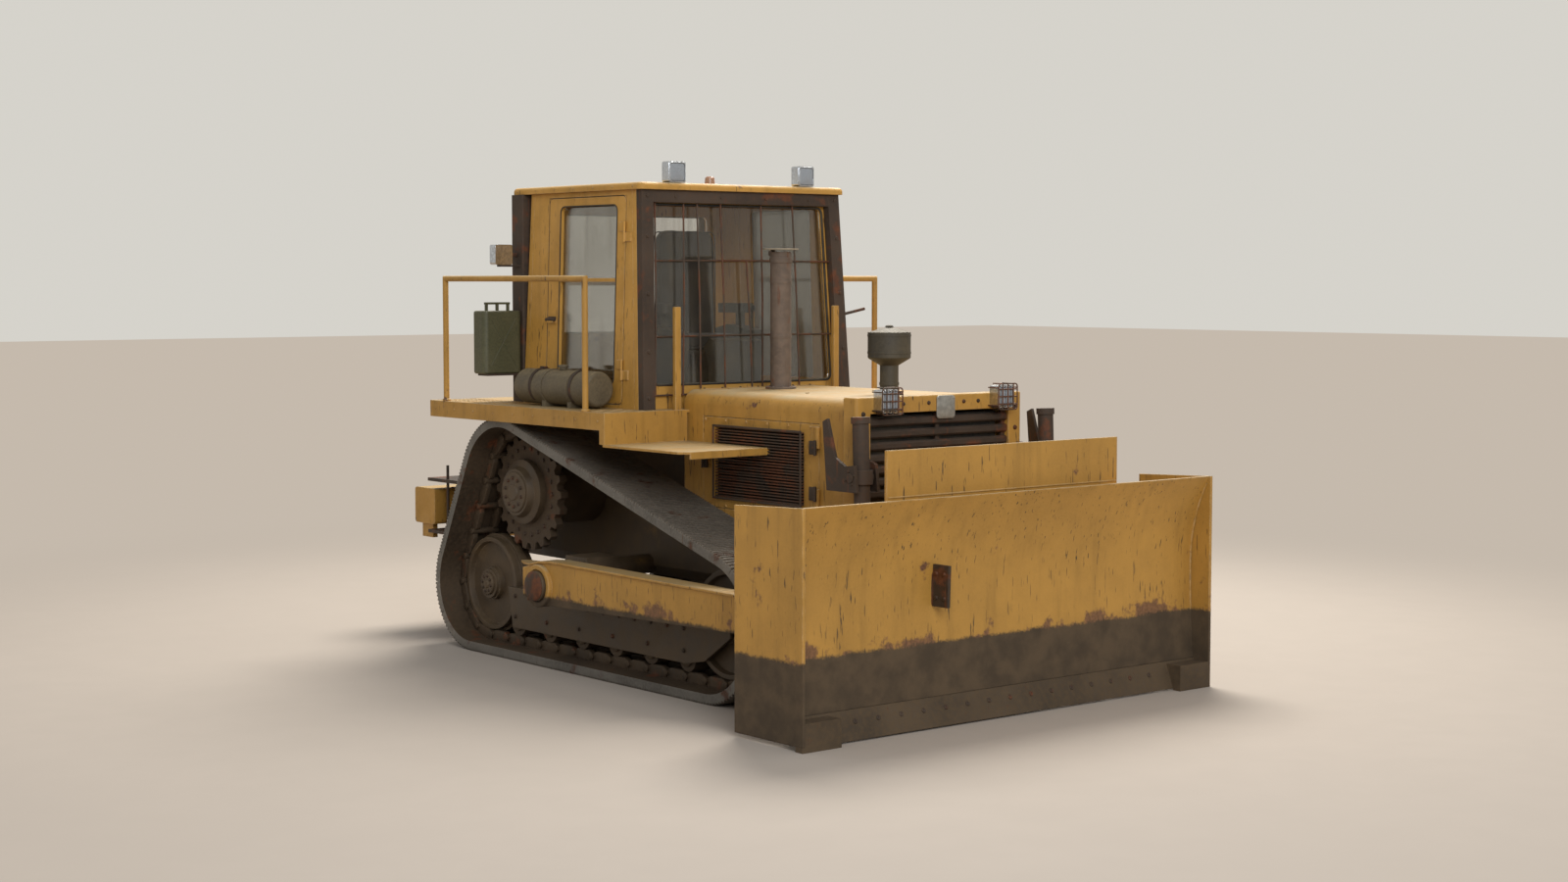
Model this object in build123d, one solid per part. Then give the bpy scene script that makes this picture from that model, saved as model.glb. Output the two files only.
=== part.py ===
from build123d import *
from math import atan2, ceil, cos, degrees, hypot, pi, radians, sin
import os

# Bulldozer: high drive tracks, enclosed cab, straight blade on two outside push arms.
# Millimetres. X runs to the machine's left, Y from the blade to the rear, Z up from the ground.
# Y is measured from the blade's corner bits while modelling. At the end every piece moves
# forward by half the machine's length, so that the origin is under the middle of the machine.

# Fits
running_gap = 0.5
rest_gap = 0.3
panel_gap = 6.0
swing_gap = 8.0

# Tracks
track_centre_x = 990.0
shoe_width = 560.0
shoe_count = 41
shoe_spacing_gap = 7.0
shoe_plate = 26.0
grouser_height = 44.0
grouser_thickness = 24.0
link_height = 74.0
link_width = 40.0
link_spacing = 120.0
link_turn = 0.52
link_lap = 6.0
front_idler_y = 1620.0
front_belt_radius = 503.0
rear_idler_y = 4500.0
rear_belt_radius = 488.0
drive_y = 4074.0
drive_z = 1202.0
drive_belt_radius = 550.0

# Wheels inside the tracks
idler_width = 176.0
idler_web = 92.0
idler_hub_radius = 122.0
idler_axle_radius = 58.0
idler_hub_reach = 24.0
idler_flange_height = 24.0
sprocket_teeth = 22
sprocket_thickness = 62.0
tooth_height = 46.0
tooth_mesh = 22.0
roller_count = 6
roller_radius = 92.0
roller_axle_radius = 34.0
roller_first_y = 2030.0
roller_last_y = 4090.0
roller_wheel = 62.0

# Final drives
drive_hub_radius = 236.0
drive_hub_reach = 118.0
drive_case_radius = 250.0
drive_bore_radius = 180.0

# Roller frames
frame_beam_top = 500.0
frame_beam_width = 236.0
guard_plate = 22.0
guard_low_z = 205.0
guard_high_z = 500.0
idler_arm_height = 150.0
tower_length = 420.0
tower_top = 800.0
pivot_radius = 70.0
pivot_z = 705.0
equalizer_y = 1960.0
equalizer_length = 150.0

# Main frame and what it carries
hull_half_width = 500.0
hull_front_y = 900.0
hull_rear_y = 5000.0
hull_low_z = 620.0
hull_top_z = 1100.0
hull_plate = 40.0
case_front_y = 3560.0
case_top_z = 1700.0
case_corner = 60.0
case_cover_radius = 160.0
platform_thickness = 69.0
engine_half_width = 330.0
engine_front_y = 1120.0
engine_rear_y = 2600.0
engine_top_z = 1840.0

# Decks over the tracks
deck_outer_x = 1340.0
deck_front_y = 2640.0
deck_rear_y = 4914.0
deck_top_z = 1849.0
deck_plate = 20.0
fascia_height = 120.0
riser_low_z = 1633.0
step_front_y = 1750.0
step_plate_thickness = 16.0
platform_half_width = 640.0

# Hood
hood_half_width = 620.0
hood_top_z = 1985.0
hood_corner = 95.0
hood_sheet = 18.0
hood_rear_y = 2700.0
door_front_y = 1242.0
door_rear_y = 2482.0
door_low_z = 1190.0
door_top_z = 1815.0
louvre_front_y = 1400.0
louvre_rear_y = 2320.0
louvre_low_z = 1270.0
louvre_top_z = 1750.0
louvre_count = 12
louvre_depth = 34.0
sill_height = 90.0
sill_depth = 40.0

# Radiator guard
guard_front_y = 754.0
guard_depth = 120.0
guard_half_width = 730.0
guard_top_z = 2005.0
guard_corner = 22.0
grille_half_width = 610.0
grille_low_z = 1100.0
grille_top_z = 1900.0
grille_pitch = 76.0
grille_bar_height = 52.0
grille_bar_depth = 34.0
grille_inset = 12.0
grille_strip = 30.0

# Hood fittings
stack_y = 2400.0
stack_radius = 73.5
stack_wall = 4.0
stack_top_z = 2940.0
cap_radius = 125.0
cap_thickness = 8.0
cap_lift = 16.0
cap_barrel_radius = 9.0
cleaner_y = 1260.0
cleaner_radius = 143.0
cleaner_neck_radius = 62.0
cleaner_low_z = 2180.0
cleaner_shoulder_z = 2225.0
cleaner_rim_z = 2400.0
cleaner_peak_z = 2433.0

# Lamps
lamp_size = 148.0
lamp_depth = 78.0
lamp_corner = 16.0
front_lamp_x = 509.0
front_lamp_z = 1980.0
roof_lamp_x = 583.0
roof_lamp_rise = 2.0
rear_lamp_x = 1076.0
rear_lamp_z = 2930.0
cage_wire = 6.0
cage_side = 176.0
cage_stand = 22.0

# Cab: the walls lean inward from the deck to the roof
cab_half_width = 940.0
cab_front_y = 2800.0
cab_rear_y = 4250.0
cab_wall = 48.0
cab_top_half_width = 890.0
cab_top_front_y = 2886.0
cab_top_rear_y = 4200.0
cab_top_z = 3370.0
roof_thickness = 50.0
roof_overhang = 34.0
roof_corner = 30.0
glass_thickness = 8.0
door_seam_front_y = 3000.0
door_seam_rear_y = 3960.0
door_seam_low_z = 1875.0
door_seam_top_z = 3335.0
door_window_front_y = 3105.0
door_window_rear_y = 3810.0
door_window_low_z = 2015.0
door_window_top_z = 3270.0
windshield_low_z = 2016.0
windshield_top_z = 3270.0
windshield_side = 130.0
rear_window_low_z = 2350.0
rear_window_top_z = 3230.0
rear_window_side = 190.0
window_corner = 45.0
door_bar_rise = 90.0
door_bar_height = 26.0
handle_z = 2450.0
hinge_reach = 12.0
hinge_radius = 9.0
hinge_length = 72.0
hinge_strap = 70.0
hinge_strap_thickness = 8.0
hinge_heights = (2120.0, 3080.0)

# Guards round the cab
post_width = 100.0
post_depth = 62.0
guard_rod_radius = 7.0
guard_rod_count = 6
top_beam_low_z = 3282.0
rear_post_width = 150.0
rear_post_depth = 150.0

# Seat and controls
seat_width = 520.0
seat_depth = 440.0
seat_front_y = 3160.0
seat_pan_z = 2240.0
seat_cushion = 120.0
seat_back_height = 880.0
seat_back_thickness = 130.0
console_x = 345.0
console_width = 130.0
console_length = 420.0
console_top_z = 2420.0
armrest_low_z = 2505.0
armrest_thickness = 70.0
armrest_width = 140.0
panel_width = 420.0
panel_depth = 75.0
panel_hood_depth = 130.0
panel_top_z = 2330.0

# Rails and grab posts
rail_radius = 21.0
rail_x = 1315.0
rail_front_y = 2900.0
rail_rear_y = 4720.0
rail_top_z = 2755.0
rail_gate_y = 4060.0
grab_x = 717.0
grab_y = 2625.0
grab_low_z = 1849.0
grab_top_z = 2560.0

# Tank, can and rear pieces
tank_radius = 125.0
tank_x = 1090.0
tank_front_y = 3050.0
tank_rear_y = 3970.0
can_width = 330.0
can_depth = 170.0
can_height = 460.0
can_low_z = 2060.0
machine_length = 5820.0
beam_depth = 300.0
beam_half_width = 950.0
beam_low_z = 836.0
beam_top_z = 1116.0
beam_corner = 26.0
hitch_pin_radius = 26.0
hitch_plate = 36.0
hitch_gap = 90.0

# Blade and push arms
trunnion_y = 3300.0
trunnion_z = 620.0
trunnion_radius = 60.0
trunnion_cap_radius = 105.0
trunnion_ring_radius = 150.0
arm_inner_x = 1300.0
arm_outer_x = 1430.0
blade_half_width = 1790.0
blade_top_z = 1430.0
blade_plate = 30.0
blade_end_plate = 20.0
blade_end_rear_y = 640.0
blade_curl_z = 850.0
blade_depth = 165.0
blade_foot_depth = 140.0
blade_foot_z = 185.0
edge_thickness = 32.0
edge_bottom_depth = 65.0
corner_bit_width = 300.0
corner_bit_height = 172.0
spill_half_width = 1010.0
spill_top_z = 1720.0
spill_thickness = 20.0
rib_low_z = 350.0
rib_low_height = 270.0
rib_low_rear_y = 360.0
rib_top_z = 1170.0
rib_top_height = 150.0
rib_top_rear_y = 300.0
rib_post_x = 1200.0
rib_post_width = 40.0
lug_x = 600.0
lug_thickness = 22.0
lug_depth = 140.0
lug_low_z = 745.0
lug_top_z = 1005.0

# Rear frame: two cross plates and their rods in front of the tool beam
cross_plate_half = 970.0
cross_plate_over_beam = 70.0
cross_plate_front_y = 5140.0
cross_plate_low_z = 772.0
cross_plate_top_z = 1178.0
cross_plate_thickness = 25.0
cross_rod_radius = 11.0
cross_rod_y = 5325.0

# Lift cylinders: a barrel hung in a yoke at its trunnion, and a rod down to the blade
lift_x = 815.0
yoke_y = 600.0
yoke_z = 1520.0
eye_y = 550.0
eye_z = 220.0
barrel_radius = 52.0
barrel_below = 600.0
barrel_above = 375.0
barrel_ring = 70.0
rod_radius = 27.0
rod_reach = 1011.0
rod_eye_radius = 66.0
rod_eye_bore = 38.0
rod_eye_width = 60.0
lift_pin_radius = 24.0
yoke_plate = 22.0
yoke_arm_top_z = 1860.0
ear_plate = 28.0
gland_step = 8.0
piston_gap = 9.0


# Helpers


def block(x, y, z):
    """Box between three pairs of limits."""
    size = [limits[1] - limits[0] for limits in (x, y, z)]
    middle = [sum(limits) / 2 for limits in (x, y, z)]
    return Pos(*middle) * Box(*size)


def side_face(points):
    """Face in the side view from (y, z) points."""
    return make_face(Plane.YZ * Polyline(*points, close=True))


def across(face, x):
    """Side view face drawn out from x[0] to x[1]."""
    return extrude(Pos(x[0], 0, 0) * face, amount=x[1] - x[0], dir=(1, 0, 0))


def front_face(points):
    """Face in the front view from (x, z) points."""
    return make_face(Polyline(*[(x, 0, z) for x, z in points], close=True))


def along(face, y):
    """Front view face drawn out from y[0] to y[1]."""
    return extrude(Pos(0, y[0], 0) * face, amount=y[1] - y[0], dir=(0, 1, 0))


def round_x(radius, x, y, z):
    """Cylinder along X."""
    return Pos(sum(x) / 2, y, z) * Rot(0, 90, 0) * Cylinder(radius, x[1] - x[0])


def round_y(radius, x, y, z):
    """Cylinder along Y."""
    return Pos(x, sum(y) / 2, z) * Rot(90, 0, 0) * Cylinder(radius, y[1] - y[0])


def round_z(radius, x, y, z):
    """Cylinder along Z."""
    return Pos(x, y, sum(z) / 2) * Cylinder(radius, z[1] - z[0])


def turned_x(profile, y, z):
    """Solid of revolution about an axis along X from (x, radius) points."""
    points = [(x, 0, radius) for x, radius in profile]
    return Pos(0, y, z) * revolve(make_face(Polyline(*points, close=True)), Axis.X, 360)


def turned_z(profile, x, y):
    """Solid of revolution about an upright axis from (radius, z) points."""
    points = [(radius, 0, z) for radius, z in profile]
    return Pos(x, y, 0) * revolve(make_face(Polyline(*points, close=True)), Axis.Z, 360)


def both(shape):
    """A shape on the machine's left and its mirror image on the right."""
    return [shape, mirror(shape, about=Plane.YZ)]


def save(name, *shapes):
    """Write one node, moved so that the origin is under the machine's middle."""
    solids = [solid for shape in shapes for solid in shape.solids()]
    node = Compound(solids).moved(Location((0, -machine_length / 2, 0)))
    export_step(node, f"parts/{name}.step")


# Track path: a belt round the front idler, the rear idler and the drive sprocket

belt_wheels = [
    (front_idler_y, front_belt_radius, front_belt_radius),
    (rear_idler_y, rear_belt_radius, rear_belt_radius),
    (drive_y, drive_z, drive_belt_radius),
]
shoe_height = shoe_plate + grouser_height
rail_depth = shoe_height + link_height
front_rail_radius = front_belt_radius - rail_depth
rear_rail_radius = rear_belt_radius - rail_depth
drive_rail_radius = drive_belt_radius - rail_depth
rail_top_of_bottom_run = rail_depth
link_offset = (link_spacing + link_width) / 2


def belt_pieces(inset):
    """Straight runs and arcs of the belt line, a distance inside the shoe tips."""
    wheels = [(y, z, radius - inset) for y, z, radius in belt_wheels]
    runs = []
    for (y0, z0, r0), (y1, z1, r1) in zip(wheels, wheels[1:] + wheels[:1]):
        span = hypot(y1 - y0, z1 - z0)
        along_y, along_z = (y1 - y0) / span, (z1 - z0) / span
        lean = (r0 - r1) / span
        square = (1 - lean * lean) ** 0.5
        out_y = lean * along_y + square * along_z
        out_z = lean * along_z - square * along_y
        start = (y0 + r0 * out_y, z0 + r0 * out_z)
        end = (y1 + r1 * out_y, z1 + r1 * out_z)
        runs.append((start, end, atan2(out_z, out_y)))
    pieces = []
    for number, (start, end, facing) in enumerate(runs):
        y, z, radius = wheels[(number + 1) % len(wheels)]
        turn = (runs[(number + 1) % len(runs)][2] - facing) % (2 * pi)
        pieces.append(("run", start, end, facing))
        pieces.append(("arc", (y, z), radius, facing, turn))
    return pieces


def piece_length(piece):
    if piece[0] == "run":
        return hypot(piece[2][0] - piece[1][0], piece[2][1] - piece[1][1])
    return piece[2] * piece[4]


def belt_station(pieces, distance, reach):
    """Point on the belt line, moved in on an arc so that a tip at that reach stays on the belt."""
    for piece in pieces:
        length = piece_length(piece)
        if distance <= length:
            break
        distance -= length
    share = distance / length
    if piece[0] == "run":
        (y0, z0), (y1, z1) = piece[1], piece[2]
        return y0 + (y1 - y0) * share, z0 + (z1 - z0) * share, piece[3]
    (y, z), radius, facing = piece[1:4]
    facing += piece[4] * share
    tip_radius = radius + shoe_height
    radius = (tip_radius**2 - reach**2) ** 0.5 - shoe_height
    return y + radius * cos(facing), z + radius * sin(facing), facing


def link_face(inset, around):
    """Straight sided face inside the belt line, with corners on each arc or round it."""
    points = []
    for piece in belt_pieces(inset):
        if piece[0] == "run":
            continue
        (y, z), radius, facing, turn = piece[1:]
        count = ceil(turn / link_turn)
        step = turn / count
        if around:
            radius /= cos(step / 2)
            turns = [facing + step * (number + 0.5) for number in range(count)]
        else:
            turns = [facing + step * number for number in range(count + 1)]
        points += [(y + radius * cos(angle), z + radius * sin(angle)) for angle in turns]
    return side_face(points)


def shoe_face(y, z, facing, pitch):
    """Side view of one shoe: a plate with a grouser bar near its trailing edge."""
    half = (pitch - shoe_spacing_gap) / 2
    bar_end = half - shoe_plate / 2
    bar_start = bar_end - grouser_thickness
    chamfer = grouser_thickness / 4
    outline = [
        (-half, 0),
        (-half, shoe_plate),
        (bar_start - chamfer, shoe_plate),
        (bar_start + chamfer, shoe_height),
        (bar_end, shoe_height),
        (half, shoe_plate),
        (half, 0),
    ]
    out_y, out_z = cos(facing), sin(facing)
    return side_face([(y - u * out_z + v * out_y, z + u * out_y + v * out_z) for u, v in outline])


def track(x):
    """One track as a fixed loop: two link rails with a shoe across each pair of links."""
    pieces = belt_pieces(shoe_height)
    total = sum(piece_length(piece) for piece in pieces)
    pitch = total / shoe_count
    outer = x + shoe_width / 2
    inner = x - shoe_width / 2
    ring = link_face(shoe_height - link_lap, False) - link_face(rail_depth, True)
    rails = [
        across(ring, (x + side * link_offset - link_width / 2, x + side * link_offset + link_width / 2))
        for side in (-1, 1)
    ]
    shoes = []
    for number in range(shoe_count):
        y, z, facing = belt_station(pieces, pitch * (number + 0.5), pitch / 2)
        shoes.append(across(shoe_face(y, z, facing, pitch), (inner, outer)))
    return rails[0].fuse(rails[1], *shoes)


# Wheels of the undercarriage


def idler(y, z, rail_radius, outer_end, outer_radius):
    """Idler wheel with a flange between the link rails, its axle held in the roller frame."""
    rim = rail_radius - rest_gap
    half = idler_width / 2
    flange = (link_spacing - link_width) / 2 - swing_gap
    web = idler_web / 2
    axle_end = frame_beam_width / 2 - rest_gap
    profile = [
        (-axle_end, 0),
        (-axle_end, idler_axle_radius),
        (-half, idler_axle_radius),
        (-half, idler_hub_radius),
        (-web, idler_hub_radius),
        (-web, rim - idler_hub_radius / 3),
        (-half, rim - idler_hub_radius / 4),
        (-half, rim),
        (-flange, rim),
        (-flange, rim + idler_flange_height),
        (flange, rim + idler_flange_height),
        (flange, rim),
        (half, rim),
        (half, rim - idler_hub_radius / 4),
        (web, rim - idler_hub_radius / 3),
        (web, idler_hub_radius),
        (half, idler_hub_radius),
        (half, outer_radius),
        (outer_end, outer_radius),
        (outer_end, 0),
    ]
    return turned_x([(track_centre_x + x, radius) for x, radius in profile], y, z)


def idlers():
    """Front idler between two arms, and rear idler with its bolted hub on the outside."""
    front_end = frame_beam_width / 2 - rest_gap
    rear_end = idler_width / 2 + idler_hub_reach
    return [
        idler(front_idler_y, front_belt_radius, front_rail_radius, front_end, idler_axle_radius),
        idler(rear_idler_y, rear_belt_radius, rear_rail_radius, rear_end, idler_hub_radius * 0.9),
    ]


def sprocket():
    """Toothed ring between the link rails, bolted to the final drive's hub."""
    tip = drive_rail_radius + tooth_mesh
    root = tip - tooth_height
    step = 2 * pi / sprocket_teeth
    points = []
    for tooth in range(sprocket_teeth):
        middle = tooth * step
        for share, radius in ((-0.34, root), (-0.17, tip), (0.17, tip), (0.34, root)):
            angle = middle + share * step
            points.append((drive_y + radius * cos(angle), drive_z + radius * sin(angle)))
    half = sprocket_thickness / 2
    ring = across(side_face(points), (track_centre_x - half, track_centre_x + half))
    bore = round_x(drive_bore_radius, (track_centre_x - half, track_centre_x + half), drive_y, drive_z)
    return ring - bore


def final_drive():
    """Final drive: case on the hull, neck through the sprocket and a domed hub outside it."""
    inner = track_centre_x - sprocket_thickness / 2
    outer = track_centre_x + sprocket_thickness / 2
    profile = [
        (hull_half_width, 0),
        (hull_half_width, drive_case_radius),
        (inner - 60, drive_case_radius),
        (inner, drive_hub_radius),
        (inner, drive_bore_radius - rest_gap),
        (outer, drive_bore_radius - rest_gap),
        (outer, drive_hub_radius),
        (outer + drive_hub_reach * 0.45, drive_hub_radius),
        (outer + drive_hub_reach * 0.6, drive_hub_radius * 0.8),
        (outer + drive_hub_reach, drive_hub_radius * 0.72),
        (outer + drive_hub_reach, 0),
    ]
    return turned_x(profile, drive_y, drive_z)


def track_rollers():
    """Bottom rollers on their axles, between the guards of the roller frame."""
    wheel_z = rail_top_of_bottom_run + roller_radius + rest_gap
    half = frame_beam_width / 2
    step = (roller_last_y - roller_first_y) / (roller_count - 1)
    solids = []
    for number in range(roller_count):
        profile = [
            (-half, 0),
            (-half, roller_axle_radius),
            (-link_offset - roller_wheel / 2, roller_axle_radius),
            (-link_offset - roller_wheel / 2, roller_radius),
            (link_offset + roller_wheel / 2, roller_radius),
            (link_offset + roller_wheel / 2, roller_axle_radius),
            (half, roller_axle_radius),
            (half, 0),
        ]
        shifted = [(track_centre_x + x, radius) for x, radius in profile]
        solids.append(turned_x(shifted, roller_first_y + number * step, wheel_z))
    return Compound(solids)


def roller_frame():
    """Box beam with rock guards, idler arms and the tower that carries the trunnion."""
    half = frame_beam_width / 2
    inner = track_centre_x - half
    outer = track_centre_x + half
    wheel_z = rail_top_of_bottom_run + roller_radius + rest_gap
    beam_low = wheel_z + roller_radius + swing_gap
    beam_front = front_idler_y + front_rail_radius + idler_flange_height + swing_gap
    beam_rear = rear_idler_y - rear_rail_radius - idler_flange_height - swing_gap
    slope = guard_high_z - guard_low_z
    beam = block((inner, outer), (beam_front, beam_rear), (beam_low, frame_beam_top))
    tail = front_idler_y - idler_arm_height * 0.6
    arm_half = idler_arm_height / 2
    outer_guard = side_face([
        (tail, front_belt_radius - arm_half),
        (beam_front - slope * 0.7, guard_low_z + 40),
        (beam_front, guard_low_z),
        (beam_rear, guard_low_z),
        (beam_rear + slope * 0.2, guard_high_z),
        (beam_front, guard_high_z),
        (front_idler_y + arm_half, front_belt_radius + arm_half),
        (tail, front_belt_radius + arm_half),
    ])
    inner_guard = side_face([
        (tail, front_belt_radius - arm_half),
        (beam_front - slope * 0.7, guard_low_z + 40),
        (beam_front, guard_low_z),
        (beam_rear, guard_low_z),
        (rear_idler_y + arm_half, rear_belt_radius - arm_half),
        (rear_idler_y + arm_half, rear_belt_radius + arm_half),
        (beam_rear, rear_belt_radius + arm_half),
        (beam_rear - arm_half, guard_high_z),
        (beam_front, guard_high_z),
        (front_idler_y + arm_half, front_belt_radius + arm_half),
        (tail, front_belt_radius + arm_half),
    ])
    tower_side = side_face([
        (trunnion_y - tower_length / 2, frame_beam_top),
        (trunnion_y + tower_length / 2, frame_beam_top),
        (trunnion_y + tower_length * 0.3, tower_top),
        (trunnion_y - tower_length * 0.3, tower_top),
    ])
    frame = beam + across(outer_guard, (outer, outer + guard_plate))
    frame = frame + across(inner_guard, (inner - guard_plate, inner))
    return frame + across(tower_side, (inner - guard_plate, outer + guard_plate))


# Main frame and running gear carried by the hull


def hull():
    """Welded trough between the tracks, with cross shafts for the roller frames and cab legs."""
    outline = [
        (-hull_half_width, hull_top_z),
        (-hull_half_width, hull_low_z + hull_plate * 2),
        (-hull_half_width + hull_plate * 2, hull_low_z),
        (hull_half_width - hull_plate * 2, hull_low_z),
        (hull_half_width, hull_low_z + hull_plate * 2),
        (hull_half_width, hull_top_z),
        (hull_half_width - hull_plate, hull_top_z),
        (hull_half_width - hull_plate, hull_low_z + hull_plate * 2.4),
        (hull_half_width - hull_plate * 2.4, hull_low_z + hull_plate),
        (-hull_half_width + hull_plate * 2.4, hull_low_z + hull_plate),
        (-hull_half_width + hull_plate, hull_low_z + hull_plate * 2.4),
        (-hull_half_width + hull_plate, hull_top_z),
    ]
    trough = along(front_face(outline), (hull_front_y, hull_rear_y))
    inner = hull_half_width - hull_plate
    bulkheads = [
        block((-inner, inner), (y, y + hull_plate), (hull_low_z + hull_plate / 2, hull_top_z))
        for y in (hull_front_y, hull_rear_y - hull_plate)
    ]
    leg_y = (hood_rear_y + hull_plate, hood_rear_y + hull_plate * 4)
    leg_top = deck_top_z - deck_plate - platform_thickness
    legs = both(block((inner, hull_half_width), leg_y, (hull_top_z - hull_plate, leg_top)))
    frame_inner = track_centre_x - frame_beam_width / 2 - guard_plate
    shafts = both(
        round_x(pivot_radius, (hull_half_width - hull_plate / 2, frame_inner), trunnion_y, pivot_z)
    )
    return trough.fuse(*bulkheads, *legs, *shafts)


def equalizer_bar():
    """Bar under the hull whose ends lie on the roller frames."""
    end = track_centre_x
    pad = equalizer_length / 2
    outline = [
        (-end, frame_beam_top),
        (end, frame_beam_top),
        (end, frame_beam_top + pad),
        (hull_half_width, hull_low_z),
        (-hull_half_width, hull_low_z),
        (-end, frame_beam_top + pad),
    ]
    y = max(equalizer_y, front_idler_y + front_rail_radius + pad * 2)
    return along(front_face(outline), (y - pad, y + pad))


def engine():
    """Engine as one plain block on the floor of the hull."""
    low = hull_low_z + hull_plate
    foot = engine_half_width * 0.6
    waist = low + (engine_top_z - low) * 0.3
    outline = [
        (-foot, low),
        (foot, low),
        (engine_half_width, waist),
        (engine_half_width, engine_top_z - 120),
        (engine_half_width - 90, engine_top_z),
        (-engine_half_width + 90, engine_top_z),
        (-engine_half_width, engine_top_z - 120),
        (-engine_half_width, waist),
    ]
    return along(front_face(outline), (engine_front_y, engine_rear_y))


def rear_case():
    """Transmission and fuel case that fills the hull behind the cab's legs."""
    front = case_front_y
    rear = hull_rear_y + hull_plate
    body = block((-hull_half_width, hull_half_width), (front, rear), (hull_top_z, case_top_z))
    edges = body.edges().filter_by(Axis.X).group_by(Axis.Z)[-1]
    body = fillet(edges, case_corner)
    top = deck_top_z - deck_plate - platform_thickness
    pads = both(
        block((hull_half_width - 140, hull_half_width), (front + 300, front + 460), (case_top_z - 20, top))
    )
    cover_z = (hull_top_z + 90, case_top_z - 140)
    cover = round_y(case_cover_radius, 0, (rear - 30, rear + 40), sum(cover_z) / 2)
    return body.fuse(*pads, cover)


def platform():
    """Floor beam that the cab and the decks stand on."""
    top = deck_top_z - deck_plate
    front = hood_rear_y + rest_gap
    return block(
        (-platform_half_width, platform_half_width), (front, deck_rear_y), (top - platform_thickness, top)
    )


def deck():
    """Deck over the left track: a plate with turned down edges and a riser to the step."""
    inner = hull_half_width
    plate_z = (deck_top_z - deck_plate, deck_top_z)
    top = deck_top_z - deck_plate / 2
    hood_side = hood_half_width + rest_gap
    plate = block((inner, deck_outer_x), (hood_rear_y + rest_gap, deck_rear_y), plate_z)
    nose = block((hood_side, deck_outer_x), (deck_front_y, hood_rear_y + deck_plate), plate_z)
    outer_x = (deck_outer_x - deck_plate, deck_outer_x)
    under = platform_half_width + rest_gap
    side = block(outer_x, (deck_front_y, deck_rear_y), (deck_top_z - fascia_height, top))
    rear = block(
        (under, deck_outer_x), (deck_rear_y - deck_plate, deck_rear_y), (deck_top_z - fascia_height, top)
    )
    riser = block((under, deck_outer_x), (deck_front_y, deck_front_y + deck_plate), (riser_low_z, top))
    strip = block(outer_x, (deck_front_y, deck_front_y + 60), (riser_low_z, top))
    return plate.fuse(nose, side, rear, riser, strip)


def step_plate():
    """Step in front of the deck, from the riser to the hood's side."""
    z = (riser_low_z - step_plate_thickness, riser_low_z)
    top = block((hood_half_width + rest_gap, deck_outer_x), (step_front_y, deck_front_y + deck_plate), z)
    corner = top.edges().filter_by(Axis.Z).sort_by(Axis.X)[-2:].sort_by(Axis.Y)[0]
    top = chamfer(corner, 60)
    lip_z = (riser_low_z - step_plate_thickness * 3, riser_low_z - step_plate_thickness / 2)
    lip = block(
        (hood_half_width + rest_gap, deck_outer_x - 60),
        (step_front_y, step_front_y + step_plate_thickness),
        lip_z,
    )
    return top + lip


# Hood


def hood():
    """Hood of bent sheet with rounded shoulders and an opening for each engine door."""
    front = guard_front_y + guard_depth
    outer = front_face([
        (-hood_half_width, door_low_z - sill_height),
        (hood_half_width, door_low_z - sill_height),
        (hood_half_width, hood_top_z),
        (-hood_half_width, hood_top_z),
    ])
    outer = fillet(outer.vertices().group_by(Axis.Z)[-1], hood_corner)
    inner = front_face([
        (-hood_half_width + hood_sheet, door_low_z - sill_height),
        (hood_half_width - hood_sheet, door_low_z - sill_height),
        (hood_half_width - hood_sheet, hood_top_z - hood_sheet),
        (-hood_half_width + hood_sheet, hood_top_z - hood_sheet),
    ])
    inner = fillet(inner.vertices().group_by(Axis.Z)[-1], hood_corner - hood_sheet)
    shell = along(outer, (front, hood_rear_y)) - along(inner, (front, hood_rear_y))
    opening = block(
        (-hood_half_width - 10, hood_half_width + 10),
        (door_front_y, door_rear_y),
        (door_low_z, door_top_z),
    )
    bore = round_z(stack_radius - stack_wall, 0, stack_y, (hood_top_z - 60, hood_top_z + 10))
    return shell - opening - bore


def hood_bulkhead():
    """Rear wall of the engine bay with the dash cowl over it."""
    half = hood_half_width - hood_sheet - rest_gap
    wall = block(
        (-half, half),
        (hood_rear_y - hull_plate, hood_rear_y),
        (hull_top_z, hood_top_z - hood_sheet - rest_gap),
    )
    corners = wall.edges().filter_by(Axis.Y).group_by(Axis.Z)[-1]
    return fillet(corners, hood_corner - hood_sheet)


def engine_door():
    """Left engine door: a framed sheet round the louvre opening, with its latch and hinges."""
    inset = panel_gap / 2
    x = (hood_half_width - hood_sheet, hood_half_width)
    sheet = block(x, (door_front_y + inset, door_rear_y - inset), (door_low_z + inset, door_top_z - inset))
    opening = block((x[0] - 5, x[1] + 5), (louvre_front_y, louvre_rear_y), (louvre_low_z, louvre_top_z))
    hinges = [
        round_z(16, hood_half_width + 12, door_front_y + inset, (z - 70, z + 70))
        & block(
            (hood_half_width, hood_half_width + 40),
            (door_front_y - 40, door_front_y + 60),
            (z - 70, z + 70),
        )
        for z in (door_low_z + 130, door_top_z - 90)
    ]
    leaf = [
        block((x[1] - 2, x[1] + 10), (door_front_y + inset, door_front_y + 70), (z - 70, z + 70))
        for z in (door_low_z + 130, door_top_z - 90)
    ]
    latch = block(
        (x[1] - 2, x[1] + 16), (door_rear_y - 70, door_rear_y - 30), (door_low_z + 300, door_low_z + 400)
    )
    return (sheet - opening).fuse(*hinges, *leaf, latch)


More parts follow.
